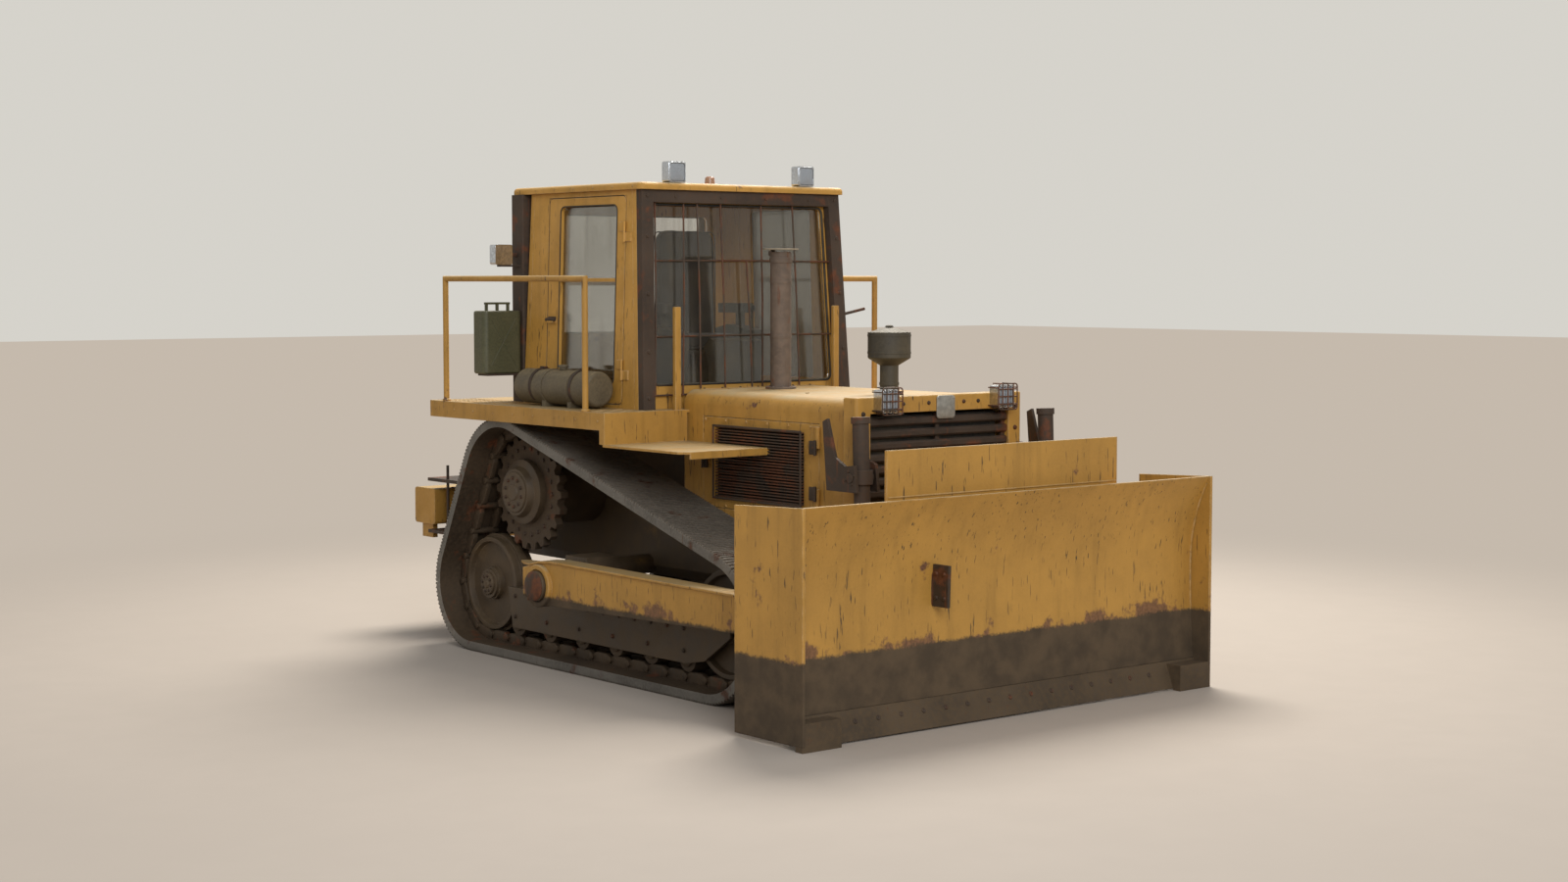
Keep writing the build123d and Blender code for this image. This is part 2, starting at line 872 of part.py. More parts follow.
def louvres():
    """Slanted slats that fill the louvre opening of the left engine door."""
    y = (louvre_front_y + rest_gap, louvre_rear_y - rest_gap)
    pitch = (louvre_top_z - louvre_low_z) / louvre_count
    outer = hood_half_width - 2
    slats = []
    for number in range(louvre_count):
        low = louvre_low_z + pitch * number
        slat = [
            (outer, low + pitch * 0.1),
            (outer, low + pitch * 0.35),
            (outer - louvre_depth, low + pitch * 0.9),
            (outer - louvre_depth, low + pitch * 0.65),
        ]
        slats.append(along(front_face(slat), y))
    frame_x = (outer - louvre_depth - 10, outer - louvre_depth * 0.5)
    posts = [
        block(frame_x, (middle - 12, middle + 12), (louvre_low_z + rest_gap, louvre_top_z - rest_gap))
        for middle in (y[0] + 12, (y[0] + y[1]) / 2, y[1] - 12)
    ]
    return posts[0].fuse(*posts[1:], *slats)


def sill():
    """Ledge along the hull under the left engine door."""
    z = (door_low_z - sill_height - sill_depth, door_low_z - sill_height)
    return block((hull_half_width, hood_half_width + sill_depth), (hull_front_y, hood_rear_y), z)


def radiator_guard():
    """Heavy front frame round the grille."""
    y = (guard_front_y, guard_front_y + guard_depth)
    frame = block((-guard_half_width, guard_half_width), y, (hull_low_z, guard_top_z))
    frame = fillet(frame.edges().group_by(Axis.Y)[0].filter_by(Axis.Z), guard_corner)
    frame = fillet(frame.faces().sort_by(Axis.Z)[-1].edges(), guard_corner / 2)
    opening = block(
        (-grille_half_width, grille_half_width), (y[0] - 5, y[1] + 5), (grille_low_z, grille_top_z)
    )
    return frame - opening


def grille():
    """Horizontal bars, rounded at the front, on three upright strips."""
    front = guard_front_y + grille_inset
    half = grille_half_width - rest_gap
    strip_y = (front + grille_bar_depth * 0.7, front + grille_bar_depth + 14)
    strips = [
        block(
            (x - grille_strip / 2, x + grille_strip / 2),
            strip_y,
            (grille_low_z + rest_gap, grille_top_z - rest_gap),
        )
        for x in (-half + grille_strip / 2, 0, half - grille_strip / 2)
    ]
    rows = int((grille_top_z - grille_low_z) / grille_pitch)
    margin = (grille_top_z - grille_low_z - rows * grille_pitch) / 2
    bars = []
    for row in range(rows):
        low = grille_low_z + margin + row * grille_pitch + (grille_pitch - grille_bar_height) / 2
        bar = block((-half, half), (front, front + grille_bar_depth), (low, low + grille_bar_height))
        bars.append(chamfer(bar.edges().filter_by(Axis.X).group_by(Axis.Y)[0], grille_bar_height * 0.22))
    return bars[0].fuse(*bars[1:], *strips)


def radiator():
    """Radiator core and its tanks behind the grille."""
    front = guard_front_y + grille_inset + grille_bar_depth + 40
    half = hood_half_width - hood_sheet - rest_gap * 2
    return block((-half + 30, half - 30), (front, front + 150), (hull_top_z, guard_top_z - 130))


# Hood fittings


def exhaust_stack():
    """Exhaust pipe with a foot flange and a clamp band."""
    outer = stack_radius
    profile = [
        (outer - stack_wall, hood_top_z),
        (outer + 34, hood_top_z),
        (outer + 34, hood_top_z + 12),
        (outer, hood_top_z + 12),
        (outer, stack_top_z - 74),
        (outer + 7, stack_top_z - 74),
        (outer + 7, stack_top_z - 40),
        (outer, stack_top_z - 40),
        (outer, stack_top_z),
        (outer - stack_wall, stack_top_z),
    ]
    pipe = turned_z(profile, 0, stack_y)
    ear_y = (stack_y + outer - 1, stack_y + outer + cap_barrel_radius * 4)
    ear = block((-22, 22), ear_y, (stack_top_z - 30, stack_top_z + cap_lift - cap_barrel_radius - rest_gap))
    return pipe + ear


def rain_cap():
    """Lid that lies just over the pipe, on an arm from its hinge barrel."""
    low = stack_top_z + cap_lift
    pivot_y = stack_y + stack_radius + cap_barrel_radius * 2
    lid = round_z(cap_radius, 0, stack_y, (low, low + cap_thickness))
    lid = lid & block(
        (-cap_radius, cap_radius),
        (stack_y - cap_radius, pivot_y - cap_barrel_radius - 5),
        (low, low + cap_thickness),
    )
    barrel = round_x(cap_barrel_radius, (-22, 22), pivot_y, low)
    arm = block((-11, 11), (stack_y + stack_radius / 2, pivot_y), (low, low + cap_barrel_radius))
    return lid.fuse(barrel, arm)


def precleaner():
    """Air intake bowl: neck, tapered shoulder, straight rim and low cone."""
    profile = [
        (0, hood_top_z),
        (cleaner_neck_radius + 26, hood_top_z),
        (cleaner_neck_radius + 26, hood_top_z + 14),
        (cleaner_neck_radius, hood_top_z + 14),
        (cleaner_neck_radius, cleaner_low_z),
        (cleaner_radius - 6, cleaner_shoulder_z),
        (cleaner_radius, cleaner_shoulder_z + 8),
        (cleaner_radius, cleaner_rim_z),
        (cleaner_radius * 0.12, cleaner_peak_z),
        (0, cleaner_peak_z + 3),
    ]
    return turned_z(profile, 0, cleaner_y)


def lamp(x, y, z):
    """Lamp body: a square box with rounded corners, its lens to the front."""
    body = block(
        (x - lamp_size / 2, x + lamp_size / 2), (y, y + lamp_depth), (z - lamp_size / 2, z + lamp_size / 2)
    )
    body = fillet(body.edges().filter_by(Axis.Y), lamp_corner)
    dish = block(
        (x - lamp_size / 2 + 12, x + lamp_size / 2 - 12),
        (y - 5, y + 6),
        (z - lamp_size / 2 + 12, z + lamp_size / 2 - 12),
    )
    return body - dish


def front_lamps():
    """Pair of lamps on the face of the radiator guard."""
    return both(lamp(front_lamp_x, guard_front_y - lamp_depth - rest_gap, front_lamp_z))


def lamp_cage():
    """Wire guard in front of the left front lamp."""
    half = cage_side / 2
    front = guard_front_y - lamp_depth - cage_stand
    x0, x1 = front_lamp_x - half, front_lamp_x + half
    z0, z1 = front_lamp_z - half, front_lamp_z + half
    back = guard_front_y
    wire = cage_wire / 2
    shares = (0, 1 / 3, 2 / 3, 1)
    rows = [z0 + (z1 - z0) * share for share in shares]
    columns = [x0 + (x1 - x0) * share for share in shares]
    bars = [block((x0 - wire, x1 + wire), (front - wire, front + wire), (z - wire, z + wire)) for z in rows]
    bars += [
        block((x - wire, x + wire), (front, front + wire * 2), (z0 - wire, z1 + wire))
        for x in columns
    ]
    stays_z = (z0 + wire * 4, guard_top_z - guard_corner * 1.5)
    bars += [
        block((x - wire, x + wire), (front, back), (z - wire, z + wire))
        for x in (x0, x1) for z in stays_z
    ]
    return bars[0].fuse(*bars[1:])


# Cab: the walls are slabs between a rectangle at the deck and a smaller one at the roof

cab_low_z = deck_top_z
rear_post_y = cab_rear_y + rest_gap


def slab(low_x, low_y, top_x, top_y):
    """Leaning slab between a rectangle at the deck and one at the roof."""
    sections = [
        Pos(sum(x) / 2, sum(y) / 2, z) * Rectangle(x[1] - x[0], y[1] - y[0])
        for x, y, z in ((low_x, low_y, cab_low_z), (top_x, top_y, cab_top_z))
    ]
    return loft(sections, ruled=True)


def side_slab(skin_in, skin_out):
    """Left wall slab between two depths measured inward from the cab's outer face."""
    y_low = (cab_front_y + cab_wall, cab_rear_y - cab_wall)
    y_top = (cab_top_front_y + cab_wall, cab_top_rear_y - cab_wall)
    return slab(
        (cab_half_width - skin_in, cab_half_width - skin_out),
        y_low,
        (cab_top_half_width - skin_in, cab_top_half_width - skin_out),
        y_top,
    )


def end_slab(low_y, top_y, direction, skin_near, skin_far):
    """Front or rear wall slab between two depths measured inward from its outer face."""
    depths = (skin_near * direction, skin_far * direction)
    return slab(
        (-cab_half_width, cab_half_width),
        sorted(low_y + depth for depth in depths),
        (-cab_top_half_width, cab_top_half_width),
        sorted(top_y + depth for depth in depths),
    )


def lean_at(low, top, z):
    """Value at a height on a straight line from the deck to the roof."""
    return low + (top - low) * (z - cab_low_z) / (cab_top_z - cab_low_z)


def side_opening(y, z, inset, corner):
    """Through cut in a side wall: a four sided outline with rounded corners."""
    face = side_face([
        (y[0] + inset, z[0] + inset),
        (y[1] - inset, z[0] + inset),
        (y[1] - inset, z[1] - inset),
        (y[0] + inset, z[1] - inset),
    ])
    face = fillet(face.vertices(), corner - inset)
    return across(face, (cab_top_half_width - cab_wall * 3, cab_half_width + cab_wall))


def end_opening(low_half, top_half, z, y, inset, corner):
    """Through cut in the front or rear wall: a tapered outline with rounded corners."""
    face = front_face([
        (-low_half + inset, z[0] + inset),
        (low_half - inset, z[0] + inset),
        (top_half - inset, z[1] - inset),
        (-top_half + inset, z[1] - inset),
    ])
    face = fillet(face.vertices(), corner - inset)
    return along(face, y)


def door_outline(inset):
    y = (door_seam_front_y, door_seam_rear_y)
    return side_opening(y, (door_seam_low_z, door_seam_top_z), inset, window_corner)


def door_window(inset):
    y = (door_window_front_y, door_window_rear_y)
    return side_opening(y, (door_window_low_z, door_window_top_z), inset, window_corner)


def windshield_opening(inset):
    low = lean_at(cab_half_width, cab_top_half_width, windshield_low_z) - windshield_side
    top = lean_at(cab_half_width, cab_top_half_width, windshield_top_z) - windshield_side
    y = (cab_front_y - 50, cab_top_front_y + cab_wall + 50)
    return end_opening(low, top, (windshield_low_z, windshield_top_z), y, inset, window_corner)


def rear_window_opening(inset):
    low = lean_at(cab_half_width, cab_top_half_width, rear_window_low_z) - rear_window_side
    top = lean_at(cab_half_width, cab_top_half_width, rear_window_top_z) - rear_window_side
    y = (cab_top_rear_y - cab_wall - 50, cab_rear_y + 50)
    return end_opening(low, top, (rear_window_low_z, rear_window_top_z), y, inset, window_corner)


def door_hinges(direction):
    """Left hinge halves: knuckles with straps, on the door (1) or below it on the wall (-1)."""
    lean = atan2(cab_top_half_width - cab_half_width, cab_top_z - cab_low_z)
    strap_skin = side_slab(1, -hinge_strap_thickness)
    strap_y = sorted(door_seam_front_y + direction * reach for reach in (panel_gap / 2, hinge_strap))
    parts = []
    for seam_z in hinge_heights:
        middle = seam_z + direction * (hinge_length + rest_gap) / 2 * cos(lean)
        x = lean_at(cab_half_width, cab_top_half_width, middle) + hinge_reach
        knuckle = Pos(
            x, door_seam_front_y, middle
        ) * Rot(0, degrees(lean), 0) * Cylinder(hinge_radius, hinge_length)
        half = hinge_length / 2 - 4
        strap = strap_skin & block((0, cab_half_width + 50), strap_y, (middle - half, middle + half))
        parts.append(strap.fuse(knuckle))
    return parts


def cab_side():
    """Left cab wall round the door's opening, with the fixed hinge halves."""
    wall = side_slab(cab_wall, 0) - door_outline(0)
    return wall.fuse(*door_hinges(-1))


def cab_front():
    """Front wall: a frame round the windshield."""
    return end_slab(cab_front_y, cab_top_front_y, 1, 0, cab_wall) - windshield_opening(0)


def cab_rear():
    """Rear wall: a frame round the rear window."""
    return end_slab(cab_rear_y, cab_top_rear_y, -1, 0, cab_wall) - rear_window_opening(0)


def cab_floor():
    """Floor plate between the two decks."""
    half = hull_half_width - rest_gap
    y = (hood_rear_y + rest_gap, cab_rear_y)
    return block((-half, half), y, (deck_top_z - deck_plate, deck_top_z))


def cab_roof():
    """Roof slab with rounded edges, over the cab and the rear posts."""
    half = cab_top_half_width + roof_overhang
    y = (cab_top_front_y - post_depth - roof_overhang, cab_rear_y + rear_post_depth + roof_overhang / 2)
    roof = block((-half, half), y, (cab_top_z, cab_top_z + roof_thickness))
    roof = fillet(roof.edges().filter_by(Axis.Z), roof_corner * 1.5)
    return fillet(roof.faces().sort_by(Axis.Z)[-1].edges(), roof_corner)


def cab_door():
    """Left door: frame round its window, a bar across the glass and hinge leaves."""
    leaf = side_slab(cab_wall, 0) & door_outline(panel_gap)
    frame = leaf - door_window(0)
    bar_z = (door_window_low_z + door_window_top_z) / 2 + door_bar_rise
    bar = side_slab(cab_wall * 0.4, cab_wall * 0.1) & block(
        (0, cab_half_width + 50),
        (door_window_front_y - 10, door_window_rear_y + 10),
        (bar_z, bar_z + door_bar_height),
    )
    return frame.fuse(bar, *door_hinges(1))


def door_glass():
    """Pane of the left door."""
    return side_slab(cab_wall * 0.6 + glass_thickness, cab_wall * 0.6) & door_window(rest_gap)


def door_handle():
    """Bow handle near the door's rear edge."""
    z = handle_z
    x = lean_at(cab_half_width, cab_top_half_width, z)
    y = door_seam_rear_y - 60
    grip = block((x + 26, x + 38), (y - 62, y + 14), (z - 13, z + 13))
    feet = [block((x - 4, x + 30), (y + at, y + at + 14), (z - 13, z + 13)) for at in (-62, 0)]
    return grip.fuse(*feet) - side_slab(cab_wall, 0)


def windshield():
    depth = cab_wall * 0.4
    return end_slab(
        cab_front_y, cab_top_front_y, 1, depth, depth + glass_thickness
    ) & windshield_opening(rest_gap)


def rear_glass():
    depth = cab_wall * 0.4
    return end_slab(
        cab_rear_y, cab_top_rear_y, -1, depth, depth + glass_thickness
    ) & rear_window_opening(rest_gap)


# Frames round the cab


def front_guard_frame():
    """Leaning posts and top beam in front of the windshield, with rods across it."""
    front_low, front_top = cab_front_y - post_depth - rest_gap, cab_top_front_y - post_depth - rest_gap
    y_low, y_top = (front_low, front_low + post_depth), (front_top, front_top + post_depth)
    post = slab(
        (cab_half_width - post_width, cab_half_width), y_low, (
            cab_top_half_width - post_width, cab_top_half_width
        ), y_top
    )
    sheet = slab((-cab_half_width, cab_half_width), y_low, (-cab_top_half_width, cab_top_half_width), y_top)
    beam = sheet & block(
        (-cab_half_width, cab_half_width), (y_low[0] - 50, y_top[1] + 50), (top_beam_low_z, cab_top_z)
    )
    frame = beam.fuse(*both(post))
    lean = degrees(atan2(cab_top_front_y - cab_front_y, cab_top_z - cab_low_z))
    low_z = windshield_low_z - 90
    middle_z = (low_z + top_beam_low_z) / 2
    middle_y = lean_at(front_low, front_top, middle_z) + post_depth / 2
    length = (top_beam_low_z - low_z + 20) / cos(radians(lean))
    rods = []
    inner = cab_half_width - post_width
    for number in range(guard_rod_count):
        x = inner * (2 * (number + 0.5) / guard_rod_count - 1)
        rods.append(Pos(x, middle_y, middle_z) * Rot(-lean, 0, 0) * Cylinder(guard_rod_radius, length))
    for z in (low_z + 14, (low_z + top_beam_low_z) / 2 - 60, top_beam_low_z - 310):
        half = lean_at(cab_half_width, cab_top_half_width, z) - post_width + 6
        y = lean_at(front_low, front_top, z) + post_depth / 2
        rods.append(round_x(guard_rod_radius, (-half, half), y, z))
    return frame.fuse(*rods)


def rear_post():
    """Left roof post behind the cab, from the deck to the roof, with the lamp's arm."""
    outer = cab_half_width
    y = (rear_post_y, rear_post_y + rear_post_depth)
    post = block((outer - rear_post_width, outer), y, (deck_top_z, cab_top_z))
    post = fillet(post.edges().filter_by(Axis.Z), 12)
    arm_z = rear_lamp_z - lamp_size / 2 - 14
    arm = block((outer - 20, rear_lamp_x + 30), (y[0] + 40, y[0] + 90), (arm_z, arm_z + 14))
    return post + arm


# Lamps and beacon on the cab


def roof_lamp():
    """Left roof lamp on a short foot at the roof's front edge."""
    y = cab_top_front_y - post_depth - roof_overhang + roof_corner + 6
    top = cab_top_z + roof_thickness
    body = lamp(roof_lamp_x, y, top + roof_lamp_rise + lamp_size / 2)
    foot = block((roof_lamp_x - 22, roof_lamp_x + 22), (y + 12, y + 66), (top, top + roof_lamp_rise + 4))
    return body + foot


def rear_lamp():
    """Left work lamp on the rear post's arm, its lens to the rear."""
    body = lamp(rear_lamp_x, 0, rear_lamp_z)
    return Pos(0, rear_post_y + 40 + lamp_depth, 0) * mirror(body, about=Plane.XZ)


def beacon():
    """Small beacon on the middle of the roof."""
    top = cab_top_z + roof_thickness
    profile = [
        (0, top), (48, top), (48, top + 12), (38, top + 16), (34, top + 62), (24, top + 72), (0, top + 74)
    ]
    return turned_z(profile, 0, cab_top_front_y + 330)


# Seat and controls


def seat_pedestal():
    """Boxed pedestal and the pan under the seat cushion."""
    pan_low = seat_pan_z - 26
    centre_y = seat_front_y + seat_depth / 2
    box = block((-190, 190), (centre_y - 190, centre_y + 190), (deck_top_z, pan_low + 5))
    pan = block(
        (-seat_width / 2, seat_width / 2), (seat_front_y, seat_front_y + seat_depth), (pan_low, seat_pan_z)
    )
    back_y = seat_front_y + seat_depth
    spine = block((-60, 60), (back_y - 10, back_y + 26), (pan_low, seat_pan_z + seat_back_height * 0.7))
    return fillet(box.edges().filter_by(Axis.Z), 40).fuse(pan, spine)


def seat_bottom():
    """Seat cushion."""
    z = (seat_pan_z + rest_gap, seat_pan_z + seat_cushion)
    rear = seat_front_y + seat_depth - seat_back_thickness - 12
    cushion = block((-seat_width / 2, seat_width / 2), (seat_front_y - 20, rear), z)
    return fillet(cushion.edges(), 34)


def seat_back():
    """Seat back with a narrower head end."""
    rear = seat_front_y + seat_depth - 10 - rest_gap
    low = seat_pan_z + rest_gap
    outline = front_face([
        (-seat_width / 2, low),
        (seat_width / 2, low),
        (seat_width / 2, low + seat_back_height * 0.55),
        (seat_width * 0.3, low + seat_back_height),
        (-seat_width * 0.3, low + seat_back_height),
        (-seat_width / 2, low + seat_back_height * 0.55),
    ])
    outline = fillet(outline.vertices(), 60)
    back = along(outline, (rear - seat_back_thickness, rear))
    return fillet(back.edges().group_by(Axis.Y)[0], 30)


def console():
    """Left control console with an armrest pad and a lever."""
    x = (console_x - console_width / 2, console_x + console_width / 2)
    y = (seat_front_y - 60, seat_front_y - 60 + console_length)
    body = side_face([
        (y[0] + 70, deck_top_z),
        (y[1], deck_top_z),
        (y[1], console_top_z - 30),
        (y[1] - 150, console_top_z),
        (y[0], console_top_z - 40),
        (y[0], console_top_z - 150),
    ])
    body = across(body, x)
    stick = round_z(11, console_x, y[0] + 60, (console_top_z - 60, console_top_z + 110))
    knob = Pos(console_x, y[0] + 60, console_top_z + 120) * Sphere(26)
    arm_y = (y[0] + 110, y[1] - 20)
    arm_x = (console_x - armrest_width / 2, console_x + armrest_width / 2)
    pad = block(arm_x, arm_y, (armrest_low_z, armrest_low_z + armrest_thickness))
    pad = fillet(pad.edges().filter_by(Axis.Z), armrest_width / 4)
    stem = block(
        (console_x - 20, console_x + 20),
        (arm_y[0] + 60, arm_y[0] + 120),
        (console_top_z - 40, armrest_low_z + 5),
    )
    return body.fuse(stick, knob, pad, stem)


def dash():
    """Instrument pillar under the windshield."""
    front = lean_at(cab_front_y, cab_top_front_y, panel_top_z) + cab_wall + 12
    outline = side_face([
        (front, deck_top_z),
        (front + panel_depth, deck_top_z),
        (front + panel_depth, panel_top_z - 190),
        (front + panel_hood_depth, panel_top_z - 60),
        (front + 60, panel_top_z),
        (front, panel_top_z - 20),
    ])
    return across(outline, (-panel_width / 2, panel_width / 2))


# Rails, grab posts, tank and can


def tube_run(points):
    """Round tube along straight runs with mitred corners."""
    path = Polyline(*points)
    start = Plane(path @ 0, z_dir=path % 0)
    return sweep(start * Circle(rail_radius), path=path, transition=Transition.RIGHT)


def rail_right():
    """Rail along the right deck's outer edge."""
    x = -rail_x
    return tube_run([
        (x, rail_front_y, deck_top_z),
        (x, rail_front_y, rail_top_z),
        (x, rail_rear_y, rail_top_z),
        (x, rail_rear_y, deck_top_z),
    ])


def rail_left():
    """Left rail with a gap for the door: a corner rail in front and a short rail behind."""
    wall_x = lean_at(cab_half_width, cab_top_half_width, rail_top_z) + rest_gap
    front = tube_run([
        (rail_x, rail_front_y, deck_top_z),
        (rail_x, rail_front_y, rail_top_z),
        (wall_x + rail_radius, rail_front_y, rail_top_z),
    ])
    rear = tube_run([
        (rail_x, rail_gate_y, deck_top_z),
        (rail_x, rail_gate_y, rail_top_z),
        (rail_x, rail_rear_y, rail_top_z),
        (rail_x, rail_rear_y, deck_top_z),
    ])
    return [front, rear]


def grab_posts():
    """Upright flat grab posts in front of the cab's corners."""
    y = (grab_y, grab_y + 30)
    bottom = min(grab_low_z, deck_top_z)
    post = block((grab_x - 24, grab_x + 24), (deck_front_y, deck_front_y + 30), (bottom, grab_top_z))
    return both(fillet(post.edges().filter_by(Axis.Y).group_by(Axis.Z)[-1], 10))


def deck_tank():
    """Cylinder tank lying along the right deck, on two saddles under its bands."""
    z = deck_top_z + tank_radius + 12
    body = round_y(tank_radius, -tank_x, (tank_front_y, tank_rear_y), z)
    body = fillet(body.edges().filter_by(GeomType.CIRCLE), 28)
    length = tank_rear_y - tank_front_y
    parts = []
    for share in (0.25, 0.6):
        y = tank_front_y + length * share
        parts.append(round_y(tank_radius + 5, -tank_x, (y, y + 42), z))
        parts.append(block((-tank_x - 90, -tank_x + 90), (y, y + 42), (deck_top_z, z - tank_radius * 0.6)))
    return body.fuse(*parts)


def fuel_can():
    """Green can on a shelf bracket of the right rear post, with a three post handle."""
    outer = -cab_half_width - rest_gap
    x = (outer - can_width, outer)
    y = (rear_post_y + 10, rear_post_y + 10 + can_depth)
    body = block(x, y, (can_low_z, can_low_z + can_height))
    body = fillet(body.edges().filter_by(Axis.Z), 40)
    body = fillet(body.edges().group_by(Axis.Z)[-1] + body.edges().group_by(Axis.Z)[0], 16)
    top = can_low_z + can_height
    middle_x, middle_y = sum(x) / 2, sum(y) / 2
    handle = block((middle_x - 105, middle_x + 105), (middle_y - 11, middle_y + 11), (top + 46, top + 62))
    posts = [
        block((middle_x + at - 9, middle_x + at + 9), (middle_y - 9, middle_y + 9), (top - 5, top + 50))
        for at in (-92, 0, 92)
    ]
    return body.fuse(handle, *posts)


def can_bracket():
    """Shelf and back strap that carry the can on the right rear post."""
    outer = 5 - cab_half_width
    y = (rear_post_y + 10, rear_post_y + 10 + can_depth)
    x = (outer - can_width + 20, outer)
    shelf_z = (can_low_z - 14, can_low_z)
    shelf = block(x, (y[0], rear_post_y + rear_post_depth - 10), shelf_z)
    brace = block((outer - 12, outer), (y[0] + 20, y[0] + 100), (can_low_z - 170, can_low_z - 10))
    return shelf + brace


# Rear beam and hitch, set from the length over all

beam_front_y = machine_length - beam_depth
cross_plate_rear_y = beam_front_y + cross_plate_over_beam


def rear_beam():
    """Transverse tool beam on two arms, with an end lug and a hitch clevis under its middle."""
    beam = block(
        (-beam_half_width, beam_half_width), (beam_front_y, machine_length), (beam_low_z, beam_top_z)
    )
    beam = fillet(beam.edges().filter_by(Axis.X), beam_corner)
    arm_low, arm_top = beam_low_z + 30, beam_top_z - 30
    arms = both(
        block((300, 390), (hull_rear_y, beam_front_y + 5), (arm_low, min(arm_top, hull_top_z - 10)))
    )
    lugs = both(
        block(
            (beam_half_width - 70, beam_half_width - 30),
            (beam_front_y + 80, machine_length - 60),
            (beam_low_z - 110, beam_low_z + 5),
        )
    )
    y = (cross_plate_rear_y + 30, machine_length - beam_corner)
    upper = (beam_low_z - hitch_plate, beam_low_z + 5)
    lower = (beam_low_z - hitch_gap - hitch_plate * 2, beam_low_z - hitch_gap - hitch_plate)
    plates = [block((-110, 110), y, upper), block((-110, 110), y, lower)]
    web = block((-110, 110), (y[0], y[0] + hitch_plate), (lower[0], upper[1]))
    pin_y = machine_length - beam_corner - 90
    bore = round_z(hitch_pin_radius, 0, pin_y, (lower[0] - 5, beam_low_z + 4))
    return (beam.fuse(*arms, *lugs, *plates, web)) - bore


def rear_frame_plates():
    """Two cross plates in front of the beam, tied by an upright rod at each end."""
    half = cross_plate_half
    upper_z = (cross_plate_top_z, cross_plate_top_z + cross_plate_thickness)
    lower_z = (cross_plate_low_z, cross_plate_low_z + cross_plate_thickness)
    front = hull_rear_y + hull_plate
    upper = block((-half, half), (cross_plate_front_y, cross_plate_rear_y), upper_z)
    upper = upper + block(
        (-hull_half_width, hull_half_width), (front + rest_gap, cross_plate_front_y + 5), upper_z
    )
    lower = block((-half, half), (cross_plate_front_y, cross_plate_rear_y), lower_z)
    hangers = both(block((300, 390), (cross_plate_front_y + 30, cross_plate_front_y + 90),
                         (lower_z[1] - 5, beam_low_z + 30 - rest_gap)))
    rods = both(round_z(cross_rod_radius, half - 22, cross_rod_y, (lower_z[0] - 25, upper_z[1] + 110)))
    return upper.fuse(lower, *rods, *hangers)


# Blade, in its own body with the push arms


def blade_face_y(z, depth):
    """Depth of the blade's front surface at a height."""
    if z <= blade_curl_z:
        share = (blade_curl_z - z) / (blade_curl_z - blade_foot_z)
        return depth - (depth - blade_foot_depth) * share * share
    rise = blade_top_z - blade_curl_z
    radius = (depth * depth + rise * rise) / (2 * depth)
    return depth - (radius - (radius * radius - (z - blade_curl_z) ** 2) ** 0.5)


def mouldboard():
    """Curved blade plate with its end plates and back ribs."""
    inner = blade_half_width - blade_end_plate
    middle_low = (blade_foot_z + blade_curl_z) / 2
    middle_top = (blade_curl_z + blade_top_z) / 2
    heights = (blade_foot_z, middle_low, blade_curl_z, middle_top, blade_top_z)
    front = [(0, blade_face_y(z, blade_depth), z) for z in heights]
    back = [(0, y + blade_plate, z) for _, y, z in front]
    face = make_face([
        ThreePointArc(front[0], front[1], front[2]),
        ThreePointArc(front[2], front[3], front[4]),
        Line(front[4], back[4]),
        ThreePointArc(back[4], back[3], back[2]),
        ThreePointArc(back[2], back[1], back[0]),
        Line(back[0], front[0]),
    ])
    plate = across(face, (-inner, inner))
    back_low = blade_face_y(rib_low_z + rib_low_height, blade_depth) + blade_plate * 0.6
    low_rib = side_face([
        (back_low - 8, rib_low_z),
        (rib_low_rear_y, rib_low_z + 40),
        (rib_low_rear_y, rib_low_z + rib_low_height - 40),
        (back_low - 8, rib_low_z + rib_low_height),
    ])
    top_low = rib_top_z - rib_top_height
    top_rib = side_face([
        (blade_face_y(top_low, blade_depth) + blade_plate * 0.6, top_low),
        (rib_top_rear_y, top_low + 30),
        (rib_top_rear_y, rib_top_z),
        (blade_face_y(rib_top_z, blade_depth) + blade_plate * 0.6, rib_top_z),
    ])
    ends = side_face([
        (0, edge_thickness),
        (blade_end_rear_y, edge_thickness),
        (blade_end_rear_y, blade_top_z - 25),
        (0, blade_top_z),
    ])
    end = across(ends, (inner, blade_half_width))
    posts = both(across(side_face([
        (blade_face_y(top_low, blade_depth) + blade_plate * 0.6, top_low + 5),
        (blade_face_y(rib_low_z, blade_depth) + blade_plate * 0.6, rib_low_z + rib_low_height - 5),
        (rib_low_rear_y - 40, rib_low_z + rib_low_height - 5),
        (rib_top_rear_y - 30, top_low + 5),
    ]), (rib_post_x - rib_post_width / 2, rib_post_x + rib_post_width / 2)))
    return plate.fuse(
        across(low_rib, (-inner, inner)), across(top_rib, (-inner, inner)), *both(end), *posts
    )


def cutting_edge():
    """Bolted edge plate along the blade's foot."""
    inner = blade_half_width - blade_end_plate - rest_gap
    top = blade_foot_z - rest_gap
    outline = side_face([
        (edge_bottom_depth, edge_thickness * 0.4),
        (edge_bottom_depth + edge_thickness * 0.7, edge_thickness * 0.4),
        (blade_foot_depth + edge_thickness, top),
        (blade_foot_depth - edge_thickness * 0.3, top),
    ])
    return across(outline, (-inner, inner))


